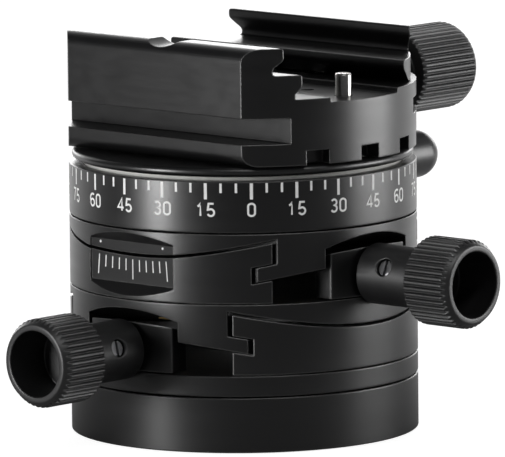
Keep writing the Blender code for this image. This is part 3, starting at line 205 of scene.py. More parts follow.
def strips(outline, cuts):
    """Flat section as a mesh whose faces are cut along the given first coordinates."""
    bm = bmesh.new()
    bm.faces.new([bm.verts.new((across, height, 0)) for across, height in outline])
    for cut in cuts:
        everything = bm.verts[:] + bm.edges[:] + bm.faces[:]
        bmesh.ops.bisect_plane(bm, geom=everything, dist=0.000001, plane_co=(cut, 0, 0), plane_no=(1, 0, 0))
    bm.normal_update()
    if sum(face.normal.z for face in bm.faces) < 0:
        bmesh.ops.reverse_faces(bm, faces=bm.faces)
    bm.verts.index_update()
    points = np.array([vert.co[:2] for vert in bm.verts])
    faces = [[vert.index for vert in face.verts] for face in bm.faces]
    rim = [(loop.vert.index, loop.link_loop_next.vert.index)
           for face in bm.faces for loop in face.loops if loop.edge.is_boundary]
    bm.free()
    return points, faces, np.array(rim)


def carried(name, outline, cuts, steps, place):
    """Section carried along a path: place(t, across, height) gives the points, with t from 0 to 1."""
    section, caps, rim = strips(outline, cuts)
    count = len(section)
    t = np.linspace(0, 1, steps + 1)[:, None]
    points = place(t, section[:, 0][None, :], section[:, 1][None, :]).reshape(-1, 3)
    level = np.arange(steps)[:, None, None] * count
    pair = rim[None]
    sides = np.concatenate([pair + level, pair[..., ::-1] + level + count], axis=-1).reshape(-1, 4)
    ends = [face[::-1] for face in caps] + [[index + steps * count for index in face] for face in caps]
    return piece_from(name, points, [list(face) for face in sides] + ends)


BODY_STRIPS = 110
BODY_CUTS = BODY_RADIUS * np.sin(np.linspace(-np.pi / 2, np.pi / 2, BODY_STRIPS + 1))[1:-1]
CUT_APART = 0.00002
CIRCLE_CLEARANCE = 0.0001


def spaced(cuts, outline, low, high):
    """Cuts and outline corners between two limits, without those that lie too near the one before."""
    places = sorted([*cuts, *(corner[0] for corner in outline)])
    return [place for index, place in enumerate(places)
            if low < place < high and (index == 0 or place - places[index - 1] > CUT_APART)]


def applied(item):
    """The item with its modifiers worked into its mesh."""
    bpy.context.view_layer.update()
    mesh = bpy.data.meshes.new_from_object(item.evaluated_get(bpy.context.evaluated_depsgraph_get()))
    item.modifiers.clear()
    item.data = mesh
    return item


def cut_by(item, tool, operation="DIFFERENCE"):
    """Boolean of an item with a tool that is then removed."""
    modifier = item.modifiers.new("cut", "BOOLEAN")
    modifier.operation = operation
    modifier.solver = "EXACT"
    modifier.object = tool
    applied(item)
    bpy.data.objects.remove(tool, do_unlink=True)
    return cleaned(item)


def softened(item):
    """Break the sharp edges of a trimmed piece with a Bevel."""
    modifier = item.modifiers.new("edges", "BEVEL")
    modifier.width = CUT_EDGE
    modifier.segments = 2
    modifier.limit_method = "ANGLE"
    modifier.angle_limit = math.radians(SHARP_DEGREES)
    modifier.use_clamp_overlap = True
    modifier.miter_outer = "MITER_SHARP"
    applied(item)
    item.data.shade_smooth()
    item.data.set_sharp_from_angle(angle=math.radians(40))
    return item


def even_light(item, centre=(0, 0)):
    """Corner normals weighted by face area, and radial wherever a corner lies on the round wall."""
    modifier = item.modifiers.new("even", "WEIGHTED_NORMAL")
    modifier.keep_sharp = True
    modifier.weight = 100
    mesh = applied(item).data
    normals, corner = np.empty(len(mesh.loops) * 3), np.empty(len(mesh.loops), np.int32)
    points = np.empty(len(mesh.vertices) * 3)
    mesh.corner_normals.foreach_get("vector", normals)
    mesh.loops.foreach_get("vertex_index", corner)
    mesh.vertices.foreach_get("co", points)
    normals = normals.reshape(-1, 3)
    offset = points.reshape(-1, 3)[corner, :2] - centre
    distance = np.hypot(offset[:, 0], offset[:, 1])
    radial = offset / np.maximum(distance, 0.001)[:, None]
    turned_out = np.sum(normals[:, :2] * radial, axis=1) > math.cos(math.radians(40))
    on_wall = (np.abs(distance - BODY_RADIUS) < WALL_BAND) & turned_out
    normals[on_wall, :2], normals[on_wall, 2] = radial[on_wall], 0
    mesh.normals_split_custom_set(normals.tolist())
    return item


def box_tool(low, high):
    """Plain box used as a cutting tool."""
    corners = np.array([[x, y, z] for x in (low[0], high[0]) for y in (low[1], high[1]) for z in (low[2], high[2])])
    faces = [(0, 1, 3, 2), (4, 6, 7, 5), (0, 4, 5, 1), (2, 3, 7, 6), (0, 2, 6, 4), (1, 5, 7, 3)]
    return piece_from("tool", corners, faces)


def bar_tool(radius, start, length, direction, place, sides=64, flare=0.0):
    """Round bar used as a cutting tool, flared by `flare` where it leaves the work."""
    outline = [(0, start), (radius, start), (radius, length - flare), (radius + flare, length), (0, length)]
    return turned("tool", outline, sides, axis_frame(direction, place))


# %% [markdown]
# The foot is a thick disc with a thinner plate on it. Both are plain turned discs. The disc keeps the hole for
# the tripod bush and the countersunk holes of its three screws, because the underside is seen when the head is
# taken off the tripod.

# %% Foot
BUSH_RADIUS = 0.0078
SCREW_CIRCLE = 0.026
SCREW_START = 57.3
SCREW_HEAD, SCREW_SHANK = 0.0042, 0.0023

disc_low, disc_high = span("base_disc")
foot = turned("foot_disc", broken([(BUSH_RADIUS, disc_low), (BODY_RADIUS, disc_low), (BODY_RADIUS, disc_high),
                                   (BUSH_RADIUS, disc_high)]), 180)
plate = turned("foot_plate", broken([(0, plate_low), (BODY_RADIUS, plate_low), (BODY_RADIUS, plate_high),
                                     (0, plate_high)]), 180)
screw_profile = [(0, -0.001), (SCREW_HEAD, -0.001), (SCREW_HEAD, 0.0004), (SCREW_SHANK, 0.0027),
                 (SCREW_SHANK, 0.016), (0, 0.016)]
for index in range(3):
    around = math.radians(SCREW_START + 120 * index)
    there = axis_frame((0, 0, 1), (SCREW_CIRCLE * math.cos(around), SCREW_CIRCLE * math.sin(around), 0))
    cut_by(foot, turned("tool", screw_profile, 40, there))
    cut_by(plate, turned("tool", screw_profile, 40, there))
for item, node in ((foot, "base_disc"), (plate, "lower_plate")):
    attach(item, "base")
    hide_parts(node)
print("foot faces:", len(foot.data.polygons))

# %% [markdown]
# A tilt stage is a slide on two curved rails. All its arcs share one axis, far above the head, so the section is
# drawn at the middle of the arc, and each of its points climbs a circle about that axis on its way out. Points on
# the flat top or bottom stay level.

# %% Arc of a tilt stage
ARC_RADIUS = 0.11
RAIL_FLOOR = 0.0091


class Stage:
    """Places of one tilt stage: its floor, its top, its tilt axis and which way its knob points."""

    def __init__(self, floor, top, along_x):
        self.floor, self.top = floor, top
        self.axis = floor + RAIL_FLOOR + ARC_RADIUS
        self.along_x = along_x

    def spread(self, along, across, height):
        """World points: the height at the middle climbs its circle, z = axis - sqrt((axis - h)^2 - along^2)."""
        level = (height <= self.floor + HAIRLINE * 1.01) | (height >= self.top - HAIRLINE * 0.01)
        arm = self.axis - height
        climbed = self.axis - np.sqrt(arm ** 2 - along ** 2)
        z = np.where(level, height + 0 * along, climbed)
        across = across + 0 * along
        if self.along_x:
            return np.stack([along, across, z], axis=-1)
        return np.stack([across, -along, z], axis=-1)

    def through(self, t, across, height):
        """From edge to edge: along = (2t - 1) sqrt(R^2 - across^2)."""
        half = np.sqrt(np.maximum(BODY_RADIUS ** 2 - across ** 2, 0))
        return self.spread((2 * t - 1) * half, across, height)

    def at_end(self, side, inner):
        """From an inner plane to the body's circle at one end."""
        def place(t, across, height):
            outer = np.sqrt(BODY_RADIUS ** 2 - across ** 2)
            return self.spread(side * (inner + t * (outer - inner)), across, height)
        return place

    def out(self, along, across, z):
        """One world place from along, across and z."""
        return (along, across, z) if self.along_x else (across, -along, z)


lower = Stage(span("lower_plate")[1], span("lower_slider")[1], False)
upper = Stage(span("lower_slider")[1], span("upper_slider")[1], True)
print("tilt axes at", round(lower.axis * 1000, 1), "and", round(upper.axis * 1000, 1), "mm")

# %% [markdown]
# The rails are fixed to the floor of their stage. A groove runs along each inner wall, and a tongue of the slider
# runs in it, which is the step that the photo shows at both ends of a rail.

# %% Rails
RAIL_INNER = 0.0233
GROOVE_WALL = 0.0266
GROOVE_TOP = 0.0042
GROOVE_BOTTOM = 0.0077


def rail(name, stage, side):
    """Curved rail: a bar from the groove's wall to the body's circle."""
    crest = stage.floor + RAIL_FLOOR
    low = stage.floor + HAIRLINE
    outline = [(RAIL_INNER, low), (BODY_RADIUS, low), (BODY_RADIUS, crest), (RAIL_INNER, crest),
               (RAIL_INNER, crest - GROOVE_TOP), (GROOVE_WALL, crest - GROOVE_TOP),
               (GROOVE_WALL, crest - GROOVE_BOTTOM), (RAIL_INNER, crest - GROOVE_BOTTOM)]
    outline = [(side * across, height) for across, height in outline]
    cuts = [cut for cut in BODY_CUTS if RAIL_INNER < side * cut < BODY_RADIUS]
    cuts += [side * GROOVE_WALL]
    return carried(name, outline, cuts, 64, stage.through)


rails = {f"{word}_rail_{hand}": rail(f"{word}_guide_{hand}", stage, side)
         for word, stage in (("lower", lower), ("upper", upper)) for hand, side in (("left", 1), ("right", -1))}
print("rails:", [len(item.data.polygons) for item in rails.values()])

# %% [markdown]
# The slider is everything between the two rails and the layer above it. Its underside has a wide channel in the
# middle that clears the knob's hub when the stage tilts. The channel's roof is slightly arched. The skirts stand a
# seam above the rails, as wide as the photo shows it, while the solids leave only a hairline.

# %% Sliders
SIDE_ROOM = 0.0009
CHANNEL = 0.0129
ROOF = 0.0034
ROOF_ARCH = 0.0014
SEAM = 0.0007


def slider(name, stage):
    """Sliding bar over both rails, with its tongues and the arched channel."""
    crest = stage.floor + RAIL_FLOOR
    neck, tongue = RAIL_INNER - SIDE_ROOM, GROOVE_WALL - SIDE_ROOM
    bottom = crest - GROOVE_BOTTOM + HAIRLINE
    arch = np.linspace(1, -1, 13)
    roof = np.stack([CHANNEL * arch, crest - ROOF + ROOF_ARCH * (1 - arch ** 2)], axis=1)
    half = [(BODY_RADIUS, stage.top), (BODY_RADIUS, crest + SEAM), (neck, crest + SEAM),
            (neck, crest - GROOVE_TOP - HAIRLINE), (tongue, crest - GROOVE_TOP - HAIRLINE), (tongue, bottom),
            (CHANNEL, bottom)]
    outline = half + roof.tolist() + [(-across, height) for across, height in reversed(half)]
    cuts = list(BODY_CUTS) + [neck, tongue, -neck, -tongue, CHANNEL, -CHANNEL]
    return carried(name, outline, sorted(cuts), 64, stage.through)


sliders = {"lower_slider": slider("middle_slide", lower), "upper_slider": slider("top_slide", upper)}
print("sliders:", [len(item.data.polygons) for item in sliders.values()])

# %% [markdown]
# Each worm shaft runs in two blocks at the ends of its stage. The blocks stand on the floor, follow the body's
# circle outside and end just below the channel's roof. The bore is cut with a round tool.

# %% Bearing blocks
BLOCK_HALF = 0.0116
BLOCK_INNER = BODY_RADIUS - 0.0064
BLOCK_CREST = 0.0046
BLOCK_BORE = 0.0033
WORM_HEIGHT = 0.0049


def bearing_block(name, stage, side):
    """Block between an inner plane and the body's circle, with its bore."""
    low, crest = stage.floor + HAIRLINE, stage.floor + RAIL_FLOOR - BLOCK_CREST
    outline = [(-BLOCK_HALF, low), (BLOCK_HALF, low), (BLOCK_HALF, crest), (-BLOCK_HALF, crest)]
    cuts = np.linspace(-BLOCK_HALF, BLOCK_HALF, 19)[1:-1]
    block = softened(carried(name, outline, cuts, 6, stage.at_end(side, BLOCK_INNER)))
    place = stage.out(0, 0, stage.floor + WORM_HEIGHT)
    return cut_by(block, bar_tool(BLOCK_BORE, 0, 0.05, stage.out(side, 0, 0), place, 48))


blocks = {f"{word}_{end}_bearing_block": bearing_block(f"{word}_{end}_bearing", stage, side)
          for word, stage in (("lower", lower), ("upper", upper)) for end, side in (("front", 1), ("rear", -1))}

# %% [markdown]
# The small tilt scale sits in a flat pocket on the front of the upper stage. The pocket is milled through the
# slider and the rail together, so one tool cuts both: a flat with slopes of 45 degrees above and below it.

# %% Tilt scale pocket
POCKET_PLANE = 0.0351
pocket_low, pocket_high = upper.floor + 0.0033, upper.floor + 0.0121
POCKET_HALF_LENGTH = 0.012
reach = 0.006


def pocket_tool():
    """Wedge shaped prism along X that mills the pocket."""
    outline = [(-POCKET_PLANE, pocket_low), (-POCKET_PLANE - reach, pocket_low - reach),
               (-POCKET_PLANE - reach, pocket_high + reach), (-POCKET_PLANE, pocket_high)]
    points = np.array([(x, y, z) for x in (-POCKET_HALF_LENGTH, POCKET_HALF_LENGTH)
                       for y, z in outline])
    return piece_from("tool", points, [(0, 1, 2, 3), (7, 6, 5, 4), (0, 4, 5, 1), (1, 5, 6, 2), (2, 6, 7, 3),
                                       (3, 7, 4, 0)])


cut_by(sliders["upper_slider"], pocket_tool())
cut_by(rails["upper_rail_right"], pocket_tool())
SLOT_HALF_WIDTH, SLOT_HALF_LENGTH, SLOT_TOP = 0.0038, 0.0244, 0.0135
for word, stage in (("lower", lower), ("upper", upper)):
    low = stage.out(-SLOT_HALF_LENGTH, -SLOT_HALF_WIDTH, stage.floor)
    high = stage.out(SLOT_HALF_LENGTH, SLOT_HALF_WIDTH, stage.floor + SLOT_TOP)
    corners = [min(a, b) for a, b in zip(low, high)], [max(a, b) for a, b in zip(low, high)]
    cut_by(sliders[f"{word}_slider"], box_tool(*corners))
cut_by(sliders["upper_slider"], bar_tool(0.0043, upper.top - 0.0039, upper.top + 0.001, (0, 0, 1), (0, 0, 0)))

# %% [markdown]
# The edges of rails and sliders are broken last, so that the cuts get their thin line of light as well.

# %% Break the edges and hang the stages on their bodies
for node, item in {**rails, **sliders}.items():
    softened(item)
for node, item in {**rails, **blocks, **sliders}.items():
    even_light(item)
    body = {"lower_slider": "middle", "upper_slider": "top"}.get(node, "base" if node[0] == "l" else "middle")
    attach(item, body)
    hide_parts(node)
print("stage pieces:", len(rails) + len(blocks) + len(sliders))

# %% [markdown]
# The pan ring and the thin disc above it are lathe parts again. The ring's upper edge shines as a thin bright
# line in the photo. Its wall stands a few hundredths of a millimetre inside the body's radius, so that the painted
# scale on it stays within that radius.

# %% Pan ring and turntable disc
PAINT = 0.00004
RING_BORE = 0.0263
RING_EDGE = 0.0003
GLIDE_OUTER, GLIDE_INNER = 0.0348, 0.0287
DISC_RADIUS = 0.0368
BOLT_HOLE = 0.0018
BOLT_CIRCLE = 0.0205
BOLT_PLACES = [(BOLT_CIRCLE * math.cos(around), BOLT_CIRCLE * math.sin(around), 0)
               for around in np.radians([33, 123, 213, 303])]
PAINT_RADIUS = BODY_RADIUS - PAINT / 4
wall = BODY_RADIUS - PAINT
glide_low = span("pan_glide_ring")[0]
ring = turned("pan_scale_ring", broken([
    (RING_BORE, ring_low), (wall, ring_low), (wall, ring_high), (GLIDE_OUTER, ring_high),
    (GLIDE_OUTER, glide_low - HAIRLINE), (GLIDE_INNER, glide_low - HAIRLINE), (GLIDE_INNER, ring_high),
    (RING_BORE, ring_high)], RING_EDGE), 180)
LOCK_HEIGHT = ring_low - HAIRLINE + 0.0063
cut_by(ring, bar_tool(0.0028, 0.02, 0.04, (0, 1, 0), (0, 0, LOCK_HEIGHT), 40))
disc_low, disc_high = span("turntable_disc")
rim = (disc_high - disc_low) / 2
rounded_rim = arc_between((DISC_RADIUS - rim, disc_low + rim), rim, -90, 90, 16)
turn_disc = turned("turn_disc", [(0, disc_low), *rounded_rim, (0, disc_high)], 180)
for place in BOLT_PLACES:
    cut_by(turn_disc, bar_tool(BOLT_HOLE, disc_low - 0.001, disc_high + 0.001, (0, 0, 1), place, 32))
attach(ring, "top")
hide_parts("scale_ring")
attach(turn_disc, "turntable")
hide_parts("turntable_disc")

# %% [markdown]
# The clamp is milled from one round blank. Its section is drawn across the plate channel: the fixed jaw in front
# with its lip and its ledge, the floor with a shallow relief, and the shelf on which the other jaw slides.

# %% Clamp section
CLAMP_FRONT = 0.0279
LIP_TOP = clamp_high
LEDGE = 0.0806
SHELF = 0.0754
RELIEF = SHELF - 0.001
SLOT_LOW, SLOT_HIGH = 0.066, 0.0715
STUD_HEIGHT = 0.072
LUG_POCKET = STUD_HEIGHT - 0.0065
NOTCHES = 17
NOTCH_DEPTH, NOTCH_HALF, NOTCH_TOP = 0.0035, 0.0027, 0.0031


def jaw_lip(lip, ledge, toward, face, drop, ledge_face, second, second_drop):
    """Lip, undercut, ledge and second undercut of a jaw, from the top down; toward is +1 for the rear jaw."""
    lip_low, ledge_low = LIP_TOP - face, LEDGE - ledge_face
    back, under_ledge = lip + toward * 0.0019, ledge + toward * second
    side = math.copysign(1, lip)
    corners = [(lip + toward * 0.0016, LIP_TOP), (lip, LIP_TOP), (lip, lip_low), (back, lip_low - drop),
               (back, LEDGE), (ledge, LEDGE), (ledge, ledge_low), (under_ledge, ledge_low - second_drop)]
    rounded = broken([(across * side, height) for across, height in corners], 0.0006, 3, closed=False)
    return [(across * side, height) for across, height in rounded.tolist()]


def rounded_corners(corners, size=CUT_EDGE):
    """Row of corners with small arcs at all but the first and the last."""
    moved = broken([(across + 1, height) for across, height in corners], size, 3, closed=False)
    return [(across - 1, height) for across, height in moved.tolist()]


clamp_outline = (
    arc_between((-CLAMP_FRONT + 0.0026, clamp_low + 0.0026), 0.0026, 270, 180)
    + rounded_corners([(-CLAMP_FRONT, 0.0645), (-CLAMP_FRONT, SLOT_LOW), (-0.0197, SLOT_LOW), (-0.0197, SLOT_HIGH),
                       (-CLAMP_FRONT, SLOT_HIGH), (-CLAMP_FRONT, 0.0745)])
    + arc_between((-CLAMP_FRONT + 0.003, LIP_TOP - 0.003), 0.003, 180, 90)
    + jaw_lip(-0.021, -0.0175, -1, 0.0026, 0.0017, 0.0026, 0.0013, 0.0014)
    + rounded_corners([(-0.0188, SHELF), (-0.0113, SHELF), (-0.0113, RELIEF), (0.0094, RELIEF),
                       (0.0094, SHELF), (BODY_RADIUS, SHELF)])
    + rounded_corners([(BODY_RADIUS, 0.072), (0.0189, 0.072), (0.0189, 0.0686), (BODY_RADIUS, 0.0686)])
    + [(BODY_RADIUS, clamp_low)])
print("clamp section corners:", len(clamp_outline))

# %% [markdown]
# The section runs along X and ends on the body's circle. Then the notches round the foot, the thumb scoop in the
# jaw's top, the two holes of the floor and the pocket for the other jaw's lug are cut.

# %% Clamp body


def along_x(shift=0.0):
    """Path along X to a body circle that is moved by `shift` along Y."""
    def place(t, across, height):
        half = np.sqrt(np.maximum(BODY_RADIUS ** 2 - (across - shift) ** 2, 0))
        x = (2 * t - 1) * half
        return np.stack([x, across + 0 * x, height + 0 * x], axis=-1)
    return place


cuts = spaced(BODY_CUTS, clamp_outline, CIRCLE_CLEARANCE - BODY_RADIUS, BODY_RADIUS - CIRCLE_CLEARANCE)
clamp = carried("clamp_block", clamp_outline, cuts, 40, along_x())
clamp = cut_by(clamp, bar_tool(0.0079, 0, 0.05, (0, -1, 0), (0.0009, 0, LIP_TOP + 0.0066), 160))
for index in range(NOTCHES):
    around = math.radians(-1.2) + 2 * math.pi * index / NOTCHES
    if BODY_RADIUS * math.sin(-around) < 0.018:
        notch = box_tool((BODY_RADIUS - NOTCH_DEPTH, -NOTCH_HALF, clamp_low - 0.002),
                         (BODY_RADIUS + 0.004, NOTCH_HALF, clamp_low + NOTCH_TOP))
        notch.data.transform(Matrix.Rotation(around, 4, "Z"))
        cut_by(clamp, notch)
pin_place = (0.0303, -0.0012)
pin_shoulder = RELIEF - 0.0028
cut_by(clamp, box_tool((-0.0083, 0.016, LUG_POCKET), (0.0083, 0.045, SHELF + 0.002)))
cut_by(clamp, bar_tool(0.0015, SHELF - 0.007, SHELF - 0.0008, (0, 0, 1), (0.0179, 0.0012, 0), 40, 0.0002))
cut_by(clamp, bar_tool(0.00205, clamp_low - 0.002, SHELF + 0.002, (0, 0, 1), (*pin_place, 0), 40))
cut_by(clamp, bar_tool(0.0027, clamp_low - 0.002, pin_shoulder, (0, 0, 1), (*pin_place, 0), 40))
cut_by(clamp, bar_tool(0.0025, 0.0106, 0.02, (0, 1, 0), (0, 0, STUD_HEIGHT), 40))
for place in BOLT_PLACES:
    cut_by(clamp, bar_tool(BOLT_HOLE, clamp_low - 0.002, clamp_low + 0.0053, (0, 0, 1), place, 32))
even_light(clamp)
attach(clamp, "turntable")
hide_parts("clamp_body")
print("clamp faces:", len(clamp.data.polygons))

# %% [markdown]
# The rear jaw mirrors the fixed one. It was turned together with the clamp, so its round back has the same radius,
# but the photo shows it pushed outwards, and its circle is moved by that way.

# %% Rear jaw
JAW_SHIFT = 0.0018
JAW_LEDGE = 0.0143
LUG_FACE = 0.0305
OUTSIDE = 0.045
jaw_circle = BODY_RADIUS - JAW_SHIFT
under = SHELF + HAIRLINE
jaw_outline = (jaw_lip(0.0249, JAW_LEDGE, 1, 0.0019, 0.0025, 0.0018, 0.0038, LEDGE - 0.0018 - under)
               + [(jaw_circle, under), (jaw_circle, LIP_TOP)])
jaw_cuts = spaced(BODY_CUTS - JAW_SHIFT, jaw_outline, JAW_LEDGE, jaw_circle - CIRCLE_CLEARANCE)
jaw = carried("sliding_jaw", jaw_outline, jaw_cuts, 40, along_x(-JAW_SHIFT))


def in_blank(box, top):
    """The part of a box that lies in the jaw's round blank, up to a height."""
    blank = turned("tool", [(0, 0), (BODY_RADIUS, 0), (BODY_RADIUS, top), (0, top)], 220)
    blank.data.transform(Matrix.Translation((0, -JAW_SHIFT, 0)))
    return cut_by(box, blank, "INTERSECT")


cut_by(jaw, in_blank(box_tool((-0.008, LUG_FACE, LUG_POCKET + HAIRLINE), (0.008, OUTSIDE, under + 0.0005)),
                     under + 0.001), "UNION")
cut_by(jaw, in_blank(box_tool((-0.015, 0.0312, 0.0689), (0.015, OUTSIDE, 0.0717)), under), "UNION")
for radius, depth in ((0.0057, LUG_FACE), (0.0045, OUTSIDE)):
    cut_by(jaw, bar_tool(radius, 0.0283, depth, (0, 1, 0), (0, 0, STUD_HEIGHT), 48))
even_light(jaw, (0, -JAW_SHIFT))
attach(jaw, "rear_jaw")
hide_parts("rear_jaw")
print("jaw faces:", len(jaw.data.polygons))

# %% [markdown]
# A grip needs ribs. On the real knobs they are cut with a form tool: rounded crests with narrow valleys between
# them. On the grid, the radius falls by a rounded valley at every rib, and only over the ribbed length.

# %% Ribbed knobs
KNOB_RADIUS = 0.0095
RIBS = 44
RIB_STEPS = 12
RIB_DEPTH = 0.0007
RIB_FLOOR = 0.0086


def ribbed(name, outline, ribbed_from, ribbed_to, matrix):
    """Lathe part with ribs: r = min(outline, knob radius - depth * |cos(ribs * angle / 2)|^5).

    A chamfer in the outline therefore cuts through the ribs and leaves their jagged ends.
    """
    radius, height = np.asarray(outline).T
    inside = (height > ribbed_from) & (height < ribbed_to) & (radius > RIB_FLOOR)
    angle = full_turn(RIBS * RIB_STEPS)[:, None]
    grooved = KNOB_RADIUS - RIB_DEPTH * np.abs(np.cos(RIBS * angle / 2)) ** 5
    return lathed(name, np.where(inside, np.minimum(radius, grooved), radius), height, matrix)


def sloped(start, end, steps=8):
    """Rows along a chamfer, so that it can cut through ribs."""
    t = np.linspace(0, 1, steps + 1)[:, None]
    return ((1 - t) * np.asarray(start) + t * np.asarray(end)).tolist()


def stage_knob(standoff):
    """Outline of a tilt knob from the body outwards: bored hub, ribbed grip, open recess."""
    start, grip, tip = BODY_RADIUS + standoff, 0.0535, 0.0659
    bore, recess = 0.0019, tip - 0.0105
    end_chamfer = sloped((KNOB_RADIUS, tip - 0.0016), (0.00872, tip - 0.00056))
    return broken([(0, 0.0516), (bore, 0.0516), (bore, start), (0.0065, start), (0.0065, grip),
                   (0.0087, grip + 0.00005)] + sloped((0.0088, grip + 0.00012), (KNOB_RADIUS, grip + 0.0006), 6)
                  + end_chamfer + [(0.0083, tip), (0.0071, tip), (0.0071, recess), (0, recess)],
                  0.00025, 4)


def knob_with_screw_hole(node, stage, standoff, screw_at, rise, facing):
    """Knob laid along its shaft, with the hole of its set screw."""
    place = stage.out(0, 0, stage.floor + WORM_HEIGHT)
    matrix = axis_frame(stage.out(1, 0, 0), place)
    knob = ribbed(node.replace("_knob", "_tilt_knob"), stage_knob(standoff), 0.05355, 0.0658, matrix)
    slope = math.radians(rise)
    direction = stage.out(0, facing * math.cos(slope), math.sin(slope))
    screw_place = stage.out(screw_at, 0, stage.floor + WORM_HEIGHT)
    return cut_by(knob, bar_tool(0.002, 0, 0.0068, direction, screw_place, 48, 0.0006))


knobs = {"lower_knob": knob_with_screw_hole("lower_knob", lower, 0.0013, 0.0463, 15, 1),
         "upper_knob": knob_with_screw_hole("upper_knob", upper, 0.0006, 0.0454, 24, -1)}
for node, item in knobs.items():
    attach(item, node.replace("knob", "worm"))
    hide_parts(node)
print("knob faces:", [len(item.data.polygons) for item in knobs.values()])

# %% [markdown]
# The clamp knob has the same ribs and a rounded end. It carries its sleeve, which passes through the jaw's lug to
# the stud. The pan lock knob is smooth, with a domed end.

# %% Clamp knob and pan lock knob
hub_start = jaw_circle + HAIRLINE
grip_start = hub_start + 0.0132
grip_end = grip_start + 0.0182
bore_end = grip_end - 0.003
sleeve_start = 0.0286
clamp_knob_outline = broken([
    (0, bore_end), (0.0028, bore_end), (0.0028, sleeve_start), (0.0042, sleeve_start), (0.0042, 0.02905),
    (0.0036, 0.02905), (0.0036, 0.03035), (0.0042, 0.03035), (0.0042, hub_start), (0.0062, hub_start),
    (0.0062, grip_start), (0.0090, grip_start), (KNOB_RADIUS, grip_start + 0.0006), (KNOB_RADIUS, grip_end - 0.0016),
    (0.0089, grip_end - 0.0005), (0.0079, grip_end), (0, grip_end)], 0.0003, 4)
clamp_knob = ribbed("jaw_knob", clamp_knob_outline, grip_start + 0.0001, grip_end - 0.0001,
                    axis_frame((0, 1, 0), (0, 0, STUD_HEIGHT)))
lock_start = BODY_RADIUS + 0.0006
collar = lock_start + 0.0029
shoe_end = 0.0248 + 0.0028
lock_bore = shoe_end + HAIRLINE + 0.0185 + HAIRLINE
LOCK_RADIUS = 0.0053
lock_outline = [(0, lock_bore), (0.0025, lock_bore), (0.0025, lock_start), (0.0036, lock_start), (0.0036, collar),
                (0.0050, collar), (LOCK_RADIUS, collar + 0.0003),
                *arc_between((0, collar + 0.0202 - LOCK_RADIUS), LOCK_RADIUS, 0, 90, 12)]
lock_knob = turned("lock_knob", lock_outline, 96, axis_frame((0, 1, 0), (0, 0, LOCK_HEIGHT)))
for item, body, node in ((clamp_knob, "clamp_knob", "clamp_knob"), (lock_knob, "pan_lock", "pan_lock_knob")):
    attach(item, body)
    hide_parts(node)

# %% [markdown]
# The stop pin is polished steel and stands alone in the floor, so its turned end is worth its own piece.

# %% Stop pin
pin_low, pin_high = span("stop_pin")
ceiling = pin_shoulder - HAIRLINE
pin = turned("end_stop_pin", broken([
    (0, pin_low), (0.0024, pin_low), (0.0024, ceiling), (0.00175, ceiling), (0.00175, pin_high - 0.0003),
    (0.00145, pin_high), (0, pin_high)], 0.00012), 72, axis_frame((0, 0, 1), (*pin_place, 0)))
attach(pin, "stop_pin")
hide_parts("stop_pin")

# %% [markdown]
# The spring under the pin shortens when the pin is pressed. It is a tube along a helix: the centre runs as
# (r cos a, r sin a, pitch * a / 2 pi), and each ring of the tube stands across the wire.

# %% Pin spring
WIRE = 0.0004
SPRING_TURNS = 6

spring_low, spring_high = span("stop_pin_spring")
spring_height = spring_high - spring_low
coil = 0.0020
t = np.linspace(0, 1, SPRING_TURNS * 36 + 1)[:, None]
angle = 2 * np.pi * SPRING_TURNS * t
around = full_turn(12)[None, :]
climb = (spring_height - WIRE) / (2 * np.pi * SPRING_TURNS * coil)
outward = WIRE / 2 * np.cos(around)
upward = WIRE / 2 * np.sin(around) / math.hypot(1, climb)
x = pin_place[0] + (coil + outward) * np.cos(angle) + climb * upward * np.sin(angle)
y = pin_place[1] + (coil + outward) * np.sin(angle) - climb * upward * np.cos(angle)
z = spring_low + WIRE / 2 + (spring_height - WIRE) * t + upward
rings, across = x.shape
faces = [list(face) for face in grid_faces(rings, across, False, True)]
faces += [list(range(across))[::-1], [(rings - 1) * across + index for index in range(across)]]
pin_spring = piece_from("pin_coil_spring", np.stack([x, y, z], axis=-1).reshape(-1, 3), faces)
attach(pin_spring, "turntable")
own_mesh(pin_spring)
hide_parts("stop_pin_spring")
print("spring height:", round(spring_height * 1000, 2), "mm")

# %% [markdown]
# The pan scale is paint in engraved lines. A mark every five degrees, a longer and wider one every fifteen, and
# numbers that count both ways from zero. All the marks are one mesh: a small curved patch per mark, worked out
# as one array.

# %% Pan scale marks
ZERO_DEGREES = -45.0
MARK_TOP = ring_high - 0.0003
MAJOR_MARK = (0.00066, 0.00345)
MINOR_MARK = (0.00052, 0.00205)


def curved_marks(name, angles, widths, top, bottoms, radius):
    """Patches on a cylinder: across its width a patch runs angle +- width / 2r, in five steps."""
    share = np.linspace(-0.5, 0.5, 5)
    angle = np.radians(angles)[:, None] + share[None, :] * (widths / radius)[:, None]
    x, y = [np.stack([way, way], axis=1) for way in (radius * np.cos(angle), radius * np.sin(angle))]
    heights = np.stack([bottoms, np.full(len(bottoms), top)], axis=1)[:, :, None]
    points = np.stack([x, y, np.broadcast_to(heights, x.shape)], axis=-1).reshape(-1, 3)
    start = np.arange(len(angles))[:, None, None] * 10
    patch = grid_faces(2, 5)[None]
    return piece_from(name, points, (start + patch).reshape(-1, 4)[:, ::-1])


steps = np.arange(-175, 181, 5)
major = steps % 15 == 0
widths, lengths = np.where(major[:, None], MAJOR_MARK, MINOR_MARK).T
pan_marks = curved_marks("pan_marks", ZERO_DEGREES + steps, widths, MARK_TOP, MARK_TOP - lengths, PAINT_RADIUS)
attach(pan_marks, "top")
print("pan marks:", len(steps))

# %% [markdown]
# Scale numbers are cut with a round tool that follows a centre line, so each digit here is a centre line too. It
# is thickened evenly and then bent round the ring by reading the flat x as a way along the circle.

# %% Digits as centre lines


